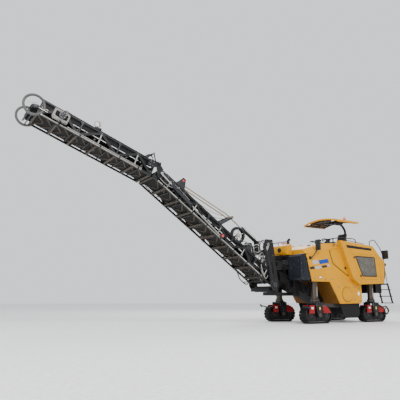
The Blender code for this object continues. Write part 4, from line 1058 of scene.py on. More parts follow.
def side_details(side, sign):
    shape = Shape(f"panel_details_{side}", "machine_yellow")
    face = PANEL_FACE
    out = Vector((0, sign, 0))
    spot = Vector((DRUM.x, sign * face, 0.96))
    shape.use("grille_void").turned(spot, out, [(0.0, 0.262), (0.003, 0.262), (0.003, 0.0005)], 40)
    shape.use("machine_yellow").turned(spot, out, [(0.0, 0.25), (0.016, 0.247), (0.022, 0.238),
        (0.022, 0.205), (0.008, 0.196), (0.008, 0.0005)], 40)
    shape.use("bolt_steel")
    for u, v in around(8, 0.222, 0.5):
        shape.bolt(spot + Vector((u, sign * 0.021, v)), out, 0.013)
    for k in range(6):
        share = (k + 0.5) / 6
        shape.bolt((0.8 - 0.34 * share, sign * face, 1.27 - 0.54 * share), out, 0.014)
    for x, z in ((-0.34, 1.2), (-0.62, 1.16), (-0.36, 0.8), (-0.62, 0.76), (0.44, 1.2), (1.56, 1.47),
            (1.05, 1.45), (0.72, 1.46)):
        shape.bolt((x, sign * face, z), out, 0.018)
    shape.use("machine_yellow")
    lift = flank(sign, face)
    hem = [(1.67, 1.37), (0.85, 1.37), (0.4, 0.64), (-0.7, 0.66)]
    for (x1, z1), (x2, z2) in zip(hem, hem[1:]):
        shape.bar(lift(x1, z1 + 0.008, 0.004), lift(x2, z2 + 0.008, 0.004), 0.01, 0.016, 0.003)
    for low, high, left, right, finish in STRIPES:
        stripe(shape, sign, low, high, left, right, finish)
    shape.use("frame_black").block((1.24, sign * face, 1.475), (1.36, sign * (face + 0.012), 1.545), 0.004)
    shape.use("lamp_lens").block((1.25, sign * face, 1.485), (1.35, sign * (face + 0.018), 1.535), 0.005)
    shape.use("lamp_lens").block((-0.58, sign * face, 0.93), (-0.51, sign * (face + 0.016), 1.05), 0.005)
    shape.use("orange_plastic").block((-0.15, sign * face, 1.41), (-0.07, sign * (face + 0.014), 1.46),
        0.005)
    shape.use("frame_grey").turned(Vector((0.47, sign * 1.0, 2.66)), (0, 0, 1),
        [(0.0, 0.045), (0.018, 0.045), (0.024, 0.038), (0.024, 0.0005)], 20)
    shape.done("chassis", "yellow")

    latch = Shape(f"flap_latch_{side}", "black_plastic")
    latch.turned(Vector((0.06, sign * face, 1.86)), out, [(0.0, 0.042), (0.01, 0.042), (0.016, 0.034),
        (0.016, 0.0005)], 20)
    latch.block((0.045, sign * face, 1.81), (0.075, sign * (face + 0.022), 1.91), 0.005)
    latch.done(f"flap_{side}", "yellow")


def flap_seam(side, sign):
    """The black weather seal that shows round the service flap."""
    outline = [(0.8, 2.44), (0.66, 2.0), (-0.04, 1.6), (-0.1, 1.63)]
    shape = Shape(f"flap_seal_{side}", "hose_rubber")
    path = [Vector((x, sign * (PANEL_FACE + 0.001), z)) for x, z in outline]
    shape.sweep(eased(path, 0.03), 0.015, 8, flat=0.8)
    return shape.done("chassis", "black")


def box_details(side, sign):
    """Slot strip and rim rolls on the side box, and its louvred base; the strip's black sheet is painted shade for the
    recessed slot.
    """
    shape = Shape(f"box_details_{side}", "frame_black")
    face = DOOR_FACE
    lift = flank(sign, face)
    # Black sheet behind the louvres: painted shade for the recessed slot.
    shape.plate([(0.1, 2.56), (-1.16, 2.52), (-1.19, 2.6), (0.14, 2.66)], -0.002, 0.004, 1, lift)
    for k in range(26):
        x = 0.06 - k * 0.047
        shape.use("frame_grey").bar(lift(x, 2.565 - 0.001 * k, 0.006), lift(x + 0.02, 2.635 - 0.001 * k,
            0.006), 0.01, 0.012, 0.002)
    shape.use("machine_yellow")
    edges = [(0.42, 2.8), (-0.15, 1.5), (-0.45, 1.31), (-1.76, 1.37), (-1.85, 2.16)]
    path = [lift(x, z, -0.004) for x, z in edges]
    shape.sweep(eased(path, 0.05), 0.012, 8)
    shape.use("bolt_steel")
    for x, z in ((0.22, 2.48), (-0.3, 1.42), (-0.8, 1.4), (-1.3, 1.42), (-1.7, 1.46), (-1.76, 2.1)):
        shape.bolt(lift(x, z, 0.0), (0, sign, 0), 0.01)
    shape.use("black_plastic")
    lamp = Vector((-1.86, sign * 1.2, 2.05))
    shape.turned(lamp, (-1, 0, 0), [(0.0, 0.05), (0.05, 0.062), (0.075, 0.062), (0.075, 0.052)], 20)
    shape.use("red_lens").turned(lamp + Vector((-0.065, 0, 0)), (-1, 0, 0),
        [(0.0, 0.052), (0.016, 0.045), (0.022, 0.0005)], 20)
    shape.use("frame_black").block(lamp - Vector((0.005, 0.02, 0.03)), lamp + Vector((0.03, 0.02, 0.03)))
    shape.done("chassis", "yellow")


def woven_grille(side, sign):
    """Wire mesh over a near-black sheet on the side door, the sheet painted shade for the opening behind the mesh,
    with its frame and two latches.
    """
    face = DOOR_FACE
    corners = [(-0.3, 2.28), (-0.62, 1.6), (-1.36, 1.6), (-1.3, 2.28)]
    shape = Shape(f"door_grille_{side}", "grille_void")
    lift = flank(sign, face)
    # Near-black sheet behind the wire: painted shade for the dark opening.
    shape.plate(corners, -0.004, 0.002, 1, lift)
    shape.use("grille_wire")
    tall = 34
    for k in range(tall + 1):
        share = k / tall
        z = 1.6 + 0.68 * share
        front = -0.62 + 0.32 * share
        rear = -1.36 + 0.06 * share
        shape.bar(lift(front, z, 0.0045), lift(rear, z, 0.0045), 0.005, 0.0085)
    for k in range(37):
        share = k / 36
        low = -0.62 - 0.74 * share
        high = -0.3 - 1.0 * share
        shape.bar(lift(low, 1.6, 0.0075), lift(high, 2.28, 0.0075), 0.005, 0.0085)
    shape.use("frame_black")
    for a, b in zip(corners, corners[1:] + corners[:1]):
        shape.bar(lift(*a, 0.007), lift(*b, 0.007), 0.014, 0.03, 0.003)
    shape.use("black_plastic")
    for x, z in ((-0.235, 2.24), (-0.53, 1.6)):
        shape.turned(lift(x, z, 0.0), (0, sign, 0), [(0.0, 0.038), (0.012, 0.038), (0.018, 0.03),
            (0.018, 0.0005)], 20)
        shape.block(lift(x - 0.012, z - 0.045, 0.0) - Vector((0, 0.01, 0)),
            lift(x + 0.012, z + 0.045, 0.0) + Vector((0, 0.01, 0)), 0.003)
    shape.use("bolt_steel")
    for x, z in ((-1.48, 2.1), (-1.52, 1.6), (-1.44, 2.24)):
        shape.bolt(lift(x, z, 0.0), (0, sign, 0), 0.009)
    shape.done(f"door_{side}", "yellow")


def front_box_details(side, sign):
    """Recessed side door, lifting handle, bolts and cap of the dark front box."""
    shape = Shape(f"front_box_details_{side}", "graphite_paint")
    lift = flank(sign, PANEL_FACE)
    outer = [(2.1, 1.52), (1.8, 1.49), (1.86, 2.12), (1.96, 2.19), (2.09, 2.14)]
    path = [lift(x, z, 0.001) for x, z in outer]
    shape.sweep(path, 0.009, 6, closed=True)
    inner = [(2.07, 1.6), (1.86, 1.57), (1.9, 2.04), (2.06, 2.06)]
    shape.plate(inner, 0.0, 0.012, 1, lift, 0.004)
    for x, low, high in ((1.93, 1.66, 1.98), (2.02, 1.66, 1.98)):
        shape.bar(lift(x, low, 0.014), lift(x + 0.01, high, 0.014), 0.012, 0.016, 0.004)
    shape.use("bolt_steel")
    for x, z in ((2.12, 1.95), (2.12, 1.7), (1.82, 1.47), (2.08, 1.47)):
        shape.bolt(lift(x, z, 0.0), (0, sign, 0), 0.009)
    shape.use("graphite_paint")
    front = 2.15
    shape.block((front - 0.002, sign * 0.58, 1.56), (front + 0.01, sign * 1.02, 2.08), 0.005)
    shape.use("bolt_steel")
    for y in (0.62, 0.98):
        for z in (1.6, 1.82, 2.04):
            shape.bolt((front + 0.01, sign * y, z), (1, 0, 0), 0.008)
    shape.use("black_plastic").block((front + 0.008, sign * 0.8 - 0.05, 1.9),
        (front + 0.022, sign * 0.8 + 0.05, 1.98), 0.006)
    shape.done("chassis", "graphite")


class PLANER_OT_sides(bpy.types.Operator):
    """Adds the covers, stripes, seams, grilles, latches and lamps along both sides"""

    bl_idname = "planer.sides"
    bl_label = "Side details"

    def execute(self, context):
        for side, sign in SIDES.items():
            side_details(side, sign)
            flap_seam(side, sign)
            box_details(side, sign)
            woven_grille(side, sign)
            front_box_details(side, sign)
        return {"FINISHED"}


def mirror_details(side, sign):
    """Glass and a moulded rim for the front and the rear mirror."""
    shape = Shape(f"mirror_glass_{side}", "mirror_glass")
    y = sign * 1.2
    shape.block((1.4145, y - 0.078, 2.42), (1.421, y + 0.078, 2.74), 0.003)
    shape.use("black_plastic").sweep(eased([(1.418, y - 0.084, 2.41), (1.418, y - 0.084, 2.75),
        (1.418, y + 0.084, 2.75), (1.418, y + 0.084, 2.41), (1.418, y - 0.083, 2.41)], 0.02), 0.008, 6)
    shape.use("black_plastic").block((1.478, y - 0.065, 2.44), (1.494, y + 0.065, 2.72), 0.01)
    y = sign * 1.22
    shape.use("mirror_glass").block((-2.006, y - 0.1, 2.28), (-1.999, y + 0.1, 2.56), 0.003)
    shape.use("black_plastic").block((-1.942, y - 0.085, 2.29), (-1.924, y + 0.085, 2.55), 0.012)
    return shape.done("chassis", "black")


class PLANER_OT_station(bpy.types.Operator):
    """Fits out the operator's station: seat, console, treads, canopy lining and beacon"""

    bl_idname = "planer.station"
    bl_label = "Operator's station"

    def execute(self, context):
        self.seat()
        self.console()
        self.canopy_lining()
        self.deck()
        for side, sign in SIDES.items():
            mirror_details(side, sign)
        return {"FINISHED"}

    def seat(self):
        base = Shape("seat_base", "frame_black")
        base.block((-0.88, -0.14, 2.2503), (-0.58, 0.14, 2.29), 0.006)
        for k in range(5):
            base.block((-0.86 + 0.008 * (k % 2), -0.12, 2.3 + 0.055 * k),
                (-0.6 - 0.008 * (k % 2), 0.12, 2.348 + 0.055 * k), 0.014)
        base.block((-0.92, -0.22, 2.58), (-0.52, 0.22, 2.7), 0.01)
        base.use("seat_vinyl")
        for sign in (-1, 1):
            base.block((-0.95, sign * 0.235 - 0.028, 2.87), (-0.66, sign * 0.235 + 0.028, 2.92), 0.016)
            base.use("frame_black").bar((-0.96, sign * 0.235, 2.74), (-0.93, sign * 0.235, 2.89), 0.03,
                0.03, 0.004)
            base.use("seat_vinyl")
        frame_piece = base.done("chassis", "black")
        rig.replaces(frame_piece, "operator_seat")
        for name, low, high, lean in (("seat_cushion", Vector((-0.96, -0.235, 2.7)),
                Vector((-0.49, 0.235, 2.81)), 0.0), ("seat_back", Vector((-0.055, -0.22, 0.02)),
                Vector((0.045, 0.22, 0.5)), -20.0)):
            pad = Shape(name, "seat_vinyl")
            if lean:
                pad.at(Matrix.Translation((-0.95, 0, 2.8)) @ Matrix.Rotation(math.radians(lean), 4, "Y"))
            self.pad(pad, low, high, upright=bool(lean))
            piece = pad.done("chassis", "seat", 60.0)
            smooth = piece.modifiers.new("crown", "SUBSURF")
            smooth.levels = smooth.render_levels = 2
            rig.padded(piece, fill=0.75)

    def pad(self, shape, low, high, upright):
        """A crowned cushion with sewn channels across it."""
        long, wide = 10, 8
        size = high - low
        rows = []
        for layer in (0, 1):
            for i in range(long + 1):
                row = []
                for k in range(wide + 1):
                    a, b = i / long * 2 - 1, k / wide * 2 - 1
                    crown = (1 - a ** 4) * (1 - b ** 4)
                    channel = 0.12 if i % 3 == 0 and 0 < i < long else 0.0
                    lift = 0.5 + 0.5 * crown * (1 - channel)
                    depth = (0.5 + lift * 0.5) if layer else 0.06 * (1 - crown)
                    along = 0.5 + 0.5 * a * (1 - 0.03 * b * b)
                    across = 0.5 + 0.5 * b * (1 - 0.04 * a * a)
                    if upright:
                        spot = Vector((low.x + size.x * depth, low.y + size.y * across,
                            low.z + size.z * along))
                    else:
                        spot = Vector((low.x + size.x * along, low.y + size.y * across,
                            low.z + size.z * depth))
                    row.append(shape.bm.verts.new(spot))
                rows.append(row)
        faces = []
        half = long + 1
        for start in (0, half):
            for i in range(long):
                for k in range(wide):
                    faces.append(shape.bm.faces.new((rows[start + i][k], rows[start + i + 1][k],
                        rows[start + i + 1][k + 1], rows[start + i][k + 1])))
        rim = ([(0, k) for k in range(wide + 1)] + [(i, wide) for i in range(1, long + 1)] + [(long,
            k) for k in range(wide - 1, -1, -1)] + [(i, 0) for i in range(long - 1, 0, -1)])
        for (i, k), (j, m) in zip(rim, rim[1:] + rim[:1]):
            faces.append(shape.bm.faces.new((rows[i][k], rows[j][m], rows[half + j][m], rows[half + i][k])))
        bmesh.ops.recalc_face_normals(shape.bm, faces=faces)
        shape.finish_faces([v for row in rows for v in row])

    def console(self):
        shape = Shape("console", "black_plastic")
        shape.block((-0.245, -0.44, 2.66), (-0.222, 0.44, 2.84), 0.006)
        shape.use("gauge_face")
        for y in (-0.3, -0.12, 0.12, 0.3):
            spot = Vector((-0.245, y, 2.78))
            shape.turned(spot, (-1, 0, 0), [(0.0, 0.045), (0.006, 0.045), (0.006, 0.0005)], 20)
            shape.use("bolt_steel").hoop(spot + Vector((-0.006, 0, 0)), (1, 0, 0), 0.046, 0.005, 20, 6)
            # Red needle, with a faint painted glow from its finish.
            shape.use("red_lens").bar(spot + Vector((-0.009, 0, 0)), spot + Vector((-0.009, 0.018, 0.026)),
                0.004, 0.003)
            shape.use("gauge_face")
        for k in range(12):
            shape.use(("orange_plastic", "white_plastic", "black_plastic")[k % 3])
            shape.rod((-0.246, -0.385 + k * 0.07, 2.7), (-0.262, -0.385 + k * 0.07, 2.7), 0.011, 10,
                chamfer=0.002)
        for y in (-0.36, -0.24, 0.24, 0.36):
            shape.use("bright_steel").rod((-0.15, y, 2.858), (-0.17, y, 2.95), 0.006, 8)
            shape.use("black_plastic").turned(Vector((-0.17, y, 2.94)), (-0.2, 0, 1),
                [(0.0, 0.01), (0.01, 0.019), (0.025, 0.022), (0.04, 0.015), (0.044, 0.0005)], 14)
        shape.use("frame_black").rod((-0.15, 0, 2.855), (-0.2, 0, 2.93), 0.022, 14)
        shape.use("hose_rubber").hoop((-0.21, 0, 2.945), (-0.5, 0, 0.85), 0.15, 0.013, 32, 8)
        for k in range(3):
            angle = 2 * math.pi * k / 3 + 0.5
            turn = Vector((-0.5, 0, 0.85)).to_track_quat("Z", "Y").to_matrix()
            rim = Vector((-0.21, 0, 2.945)) + turn @ Vector((0.145 * math.cos(angle),
                0.145 * math.sin(angle), 0))
            shape.use("frame_grey").bar((-0.205, 0, 2.935), rim, 0.022, 0.008)
        shape.use("black_plastic").block((-0.2, 0.06, 2.865), (-0.12, 0.2, 2.99), 0.008)
        shape.use("mirror_glass").block((-0.203, 0.07, 2.88), (-0.198, 0.19, 2.98), 0.002)
        shape.done("chassis", "black")

    def canopy_lining(self):
        """Dark ribs and lining under the roof, with every other lining strip near-black as painted shade between the
        ribs, a rolled yellow rim and a beacon on top.
        """
        lining = Shape("canopy_lining", "frame_black")
        half = 0.8
        edge = 0.86

        def under(y):
            return 3.56 + 0.13 * (1 - (y / edge) ** 2)

        for k in range(17):
            y = -half + 2 * half * k / 16
            # Every other strip is near-black: painted shade in the gaps between the lining's ribs.
            lining.use("grille_void" if k % 2 else "hoop_grey")
            z = under(y)
            lining.block((-1.0, y - 0.04, z - 0.012), (0.0, y + 0.04, z + 0.004), 0.003)
        for x in (-0.95, -0.5, -0.05):
            path = [Vector((x, -half + 2 * half * k / 14,
                under(-half + 2 * half * k / 14) - 0.02)) for k in range(15)]
            lining.use("frame_black").sweep(path, 0.014, 6)
        lining.use("machine_yellow")
        for x in (-1.052, 0.052):
            path = [Vector((x, -0.84 + 1.68 * k / 14,
                under(-0.84 + 1.68 * k / 14) + 0.022)) for k in range(15)]
            lining.sweep(path, 0.02, 8)
        for sign in (-1, 1):
            lining.bar((-1.05, sign * 0.845, 3.565), (0.05, sign * 0.845, 3.565), 0.026, 0.03, 0.008)
        lining.use("machine_yellow")
        for y in (-0.55, -0.28, 0.0, 0.28, 0.55):
            z = under(y) + 0.06
            lining.bar((-0.98, y, z), (-0.02, y, z), 0.05, 0.014, 0.005)
        lining.use("frame_black").rod((-0.88, 0.35, 3.72), (-0.88, 0.35, 3.765), 0.05, 20)
        lining.use("orange_plastic").turned(Vector((-0.88, 0.35, 3.762)), (0, 0, 1),
            [(0.0, 0.052), (0.055, 0.048), (0.085, 0.036), (0.098, 0.018), (0.1, 0.0005)], 24)
        lining.use("lamp_lens")
        for y in (-0.62, 0.62):
            lining.block((0.01, y - 0.07, 3.6), (0.045, y + 0.07, 3.655), 0.006)
        lining.use("bolt_steel")
        for x in (-0.97, -0.62):
            for sign in (-1, 1):
                lining.bolt((x, sign * 0.1, 3.612), (0, 0, -1), 0.01)
        lining.done("chassis", "yellow")

    def deck(self):
        """Tread plate, grab rails, filler caps and exhaust on the rear deck and hood."""
        shape = Shape("station_deck", "tread_plate")
        shape.block((-1.33, -0.79, 2.2502), (-0.91, 0.79, 2.258))
        shape.block((-0.55, -0.79, 2.2502), (-0.12, 0.79, 2.258))
        shape.use("frame_black")
        for sign in (-1, 1):
            shape.sweep(eased([(-1.15, sign * 0.93, 2.64), (-1.15, sign * 0.93, 2.8),
                (-0.2, sign * 0.93, 2.88), (-0.2, sign * 0.93, 2.72)], 0.06), 0.013, 8)
        shape.use("frame_grey")
        for x, y, z in ((0.55, -0.55, 2.735), (1.15, 0.45, 2.618)):
            shape.turned(Vector((x, y, z)), (0.15, 0, 1), [(0.0, 0.06), (0.03, 0.06), (0.04, 0.052),
                (0.04, 0.0005)], 24)
        shape.use("black_plastic")
        for k in range(9):
            x = 0.36 + k * 0.06
            z = 2.782 - 0.158 * (x - 0.012)
            shape.bar((x, -0.34, z), (x, 0.34, z), 0.018, 0.012, 0.003)
        shape.use("frame_grey").rod((1.42, -0.3, 2.55), (1.42, -0.3, 2.86), 0.055, 24, chamfer=0.006)
        shape.rod((1.42, -0.3, 2.86), (1.35, -0.3, 2.93), 0.05, 24, 0.05, 0.006)
        shape.use("bolt_steel").hoop((1.42, -0.3, 2.68), (0, 0, 1), 0.058, 0.006, 24, 6)
        shape.done("chassis", "yellow")


class PLANER_OT_nose(bpy.types.Operator):
    """Adds the rail, valves and hoses at the front of the machine, and the rear fittings"""

    bl_idname = "planer.nose"
    bl_label = "Nose and rear"

    def execute(self, context):
        self.cover()
        self.nose_hoses()
        self.rear()
        self.ladder()
        return {"FINISHED"}

    def cover(self):
        shape = Shape("cover_fittings", "frame_black")
        for y in (-0.62, -0.15, 0.3):
            shape.rod((2.02, y, 2.62), (2.02, y, 2.74), 0.012, 10)
        shape.sweep(eased([(2.02, -0.7, 2.74), (2.02, 0.38, 2.74)], 0.02), 0.016, 8)
        shape.use("orange_plastic")
        for y in (0.08, 0.2):
            shape.turned(Vector((2.02, y, 2.66)), (0, 0, 1), [(0.0, 0.04), (0.03, 0.042), (0.055, 0.03),
                (0.062, 0.0005)], 18)
        shape.use("machine_yellow")
        shape.block((2.1, -0.66, 2.32), (2.142, 0.34, 2.56), 0.008)
        shape.use("frame_black").turned(Vector((2.135, 0.05, 2.45)), (1, 0, 0),
            [(0.0, 0.075), (0.02, 0.08), (0.045, 0.07), (0.045, 0.055), (0.03, 0.05), (0.03, 0.0005)], 24)
        shape.use("bolt_steel")
        for y in (-0.6, -0.35, -0.12, 0.28):
            for z in (2.36, 2.53):
                shape.bolt((2.142, y, z), (1, 0, 0), 0.009)
        shape.use("tube_grey").sweep(eased([(2.13, -0.45, 2.44), (2.17, -0.45, 2.44), (2.17, -0.25, 2.44),
            (2.13, -0.25, 2.44)], 0.02), 0.008, 8)
        shape.done("chassis", "yellow")

    def nose_hoses(self):
        """Valve block on the nose, with hoses forward to the conveyor's foot and back to the legs."""
        shape = Shape("nose_hoses", "frame_grey")
        shape.block((2.082, 0.2, 1.92), (2.14, 0.44, 2.1), 0.006)
        shape.block((2.082, -0.44, 1.92), (2.13, -0.24, 2.06), 0.006)
        shape.use("bright_steel")
        for k in range(5):
            y = 0.225 + k * 0.047
            shape.rod((2.14, y, 2.06), (2.165, y, 2.06), 0.011, 6)
            shape.rod((2.14, y, 1.96), (2.165, y, 1.96), 0.011, 6)
        shape.use("hose_rubber")
        for k in range(4):
            y = 0.225 + k * 0.047
            shape.sweep(eased([(2.16, y, 1.96), (2.22, y, 1.92), (2.16, y + 0.02, 1.4),
                (2.1, 0.36 + k * 0.03, 1.05), (1.94, 0.44, 0.98)], 0.12), 0.012, 8)
        for side in (-1, 1):
            for k in range(2):
                y = side * (0.52 + 0.05 * k)
                shape.sweep(eased([(1.62, y, 1.44), (1.6, y, 1.1), (1.5, side * 0.66, 0.95 - 0.05 * k),
                    (1.44, side * 0.72, 1.36)], 0.16), 0.014, 8)
                shape.sweep(eased([(-1.6, y + side * 0.16, 1.44), (-1.62, y + side * 0.16, 1.12),
                    (-1.56, side * 0.76, 0.98 - 0.05 * k), (-1.52, side * 0.8, 1.36)], 0.16), 0.014, 8)
        shape.done("chassis", "black")

    def rear(self):
        shape = Shape("rear_fittings", "frame_black")
        for k in range(9):
            z = 1.52 + k * 0.065
            x = -1.745 - 0.085 * (z - 1.42) / 0.72
            shape.bar((x, -0.72, z), (x, 0.72, z), 0.035, 0.022, 0.004)
        for y in (-0.76, 0.0, 0.76):
            shape.bar((-1.752, y, 1.47), (-1.822, y, 2.1), 0.03, 0.026, 0.004)
        shape.use("machine_yellow")
        shape.block((-2.004, -0.2, 1.06), (-1.985, 0.2, 1.075), 0.003)
        for side in (-1, 1):
            lamp = Vector((-1.99, side * 0.6, 1.22))
            shape.use("black_plastic").block(lamp - Vector((0.03, 0.13, 0.05)),
                lamp + Vector((0.0, 0.06, 0.05)), 0.006)
            shape.use("red_lens").block(lamp - Vector((0.038, 0.12, 0.04)),
                lamp + Vector((-0.03, -0.03, 0.04)), 0.004)
            shape.use("orange_plastic").block(lamp - Vector((0.038, 0.02, 0.04)),
                lamp + Vector((-0.03, 0.05, 0.04)), 0.004)
            shape.use("frame_black").rod((-1.98, side * 0.38, 1.12), (-2.03, side * 0.38, 1.12), 0.035, 16,
                chamfer=0.005)
        shape.use("bolt_steel")
        for y in (-0.2, 0.2):
            for z in (1.12, 1.32):
                shape.bolt((-1.995, y * 1.5, z), (-1, 0, 0), 0.014)
        shape.done("chassis", "black")

    def ladder(self):
        shape = Shape("ladder_treads", "tread_plate")
        for share in (0.0, 0.34, 0.67):
            x = -2.27 + 0.235 * share
            z = 0.66 + 0.72 * share
            shape.use("tread_plate").block((x - 0.096, 0.715, z + 0.012), (x + 0.096, 1.165, z + 0.018))
            shape.use("yellow_plate").block((x - 0.099, 0.72, z + 0.01), (x - 0.084, 1.16, z + 0.021), 0.002)
        shape.use("frame_black")
        shape.sweep(eased([(-2.02, 1.175, 1.4), (-1.98, 1.19, 1.6), (-1.9, 1.19, 1.95)], 0.1), 0.012, 8)
        shape.done("chassis", "black")


# ---- conveyor ------------------------------------------------------------------------------------------
def cleats(name, body, place, start, end, top, under):
    """Chevron cleats on the carrying and the returning strand of one belt section."""
    pitch = bpy.context.scene.planer_conveyor.cleat_pitch
    shape = Shape(name, "belt_cleat")
    count = int((end - start) / pitch)
    for k in range(count + 1):
        s = start + k * pitch
        for sign in (-1, 1):
            for t, lift, ahead in ((top, 0.01, 0.24), (under, -0.009, -0.24)):
                for inner, outer in ((0.02, 0.2), (0.2, 0.37)):
                    near = s + ahead * (0.37 - inner) / 0.35
                    far = s + ahead * (0.37 - outer) / 0.35
                    if start - 0.04 < near < end + 0.06:
                        shape.bar(place(near, t + lift * 0.5, sign * inner),
                            place(far, t + lift * 0.5, sign * outer), 0.05, 0.026, 0.008)
    return shape.done(body, "belt")


def idlers(shape, place, stations, carry, back):
    """Troughing and return rollers with their brackets, at stations along a section."""
    for s in stations:
        shape.use("tube_grey")
        shape.rod(place(s, carry, -0.37), place(s, carry, 0.37), 0.028, 14, chamfer=0.004)
        shape.use("frame_black").rod(place(s + 0.1, back, -0.37), place(s + 0.1, back, 0.37), 0.02, 12,
            chamfer=0.003)
        for y in (-0.43, 0.43):
            side = 1 if y > 0 else -1
            shape.bar(place(s, carry, side * 0.37), place(s, carry, side * 0.456), 0.022, 0.022)
            shape.bar(place(s + 0.1, back, side * 0.37), place(s + 0.1, back, side * 0.456), 0.018, 0.018)


def skirts(name, body, place, start, end, low, high):
    """Rubber skirts with clamp strips that keep the load on the carrying strand."""
    shape = Shape(name, "hose_rubber")
    count = int((end - start) / 0.5)
    for sign in (-1, 1):
        shape.use("hose_rubber")
        lift = lambda s, t, d, sign=sign: place(s, t, sign * (0.425 + d + (t - low) * 0.12))
        shape.plate([(start, low), (end, low), (end, high), (start, high)], -0.005, 0.005, 1, lift)
        shape.use("frame_grey").bar(lift(start, high - 0.03, 0.008), lift(end, high - 0.03, 0.008), 0.006,
            0.03, 0.002)
        shape.use("bolt_steel")
        for k in range(count):
            shape.bolt(lift(start + 0.2 + k * 0.5, high - 0.03, 0.011), (0, sign, 0), 0.008, False)
    return shape.done(body, "black")


def ribs(shape, place, start, step, count, low):
    """Brown-grey channel sections under the belt."""
    shape.use("rib_brown")
    for k in range(count + 1):
        s = min(max(start + k * step, start + 0.03), start + count * step - 0.03)
        shape.bar(place(s, low, -0.452), place(s, low, 0.452), 0.052, 0.006, 0.002)
        for flange in (-0.024, 0.024):
            shape.bar(place(s + flange, low + 0.014, -0.452), place(s + flange, low + 0.014, 0.452), 0.005,
                0.03)


def pipes(shape, place, start, end, spots, radius, clips=0.62):
    """Hydraulic pipes along a chord with clips and unions."""
    for y, t in spots:
        shape.use("tube_grey").sweep([place(start, t, y), place(end, t, y)], radius, 10)
        shape.use("bolt_steel")
        for s in (start + 0.02, (start + end) / 2, end - 0.02):
            shape.rod(place(s - 0.018, t, y), place(s + 0.018, t, y), radius * 1.6, 6)
    count = int((end - start) / clips)
    shape.use("frame_black")
    for k in range(count + 1):
        s = start + 0.1 + k * clips
        for y, t in spots:
            shape.bar(place(s, t - radius * 1.7, y), place(s, t + radius * 1.7, y), 0.034, radius * 2.6,
                0.002)


def gussets(shape, place, start, step, count, low, high, sign):
    """Corner plates welded over the nodes of one side truss, with pale bars on every other post that are painted
    highlights.
    """
    y = sign * (CONVEYOR_HALF + 0.003)
    lift = lambda s, t, d: place(s, t, y + sign * d)
    for k in range(1, count):
        s = start + k * step
        shape.use("frame_grey")
        shape.plate([(s - 0.075, low + 0.012), (s + 0.075, low + 0.012), (s + 0.028, low + 0.095),
            (s - 0.028, low + 0.095)], -0.003, 0.003, 1, lift, 0.0015)
        shape.plate([(s - 0.075, high - 0.012), (s - 0.028, high - 0.095), (s + 0.028, high - 0.095),
            (s + 0.075, high - 0.012)], -0.003, 0.003, 1, lift, 0.0015)
        # Every other post bar is pale grey: painted highlight on the post.
        shape.use("tube_grey" if k % 2 else "frame_grey")
        shape.bar(lift(s, low + 0.08, 0.0), lift(s, high - 0.08, 0.0), 0.012, 0.036, 0.003)
        shape.use("bolt_steel")
        for t in (low + 0.035, high - 0.035):
            shape.bolt(lift(s, t, 0.003), (0, sign, 0), 0.008, False)


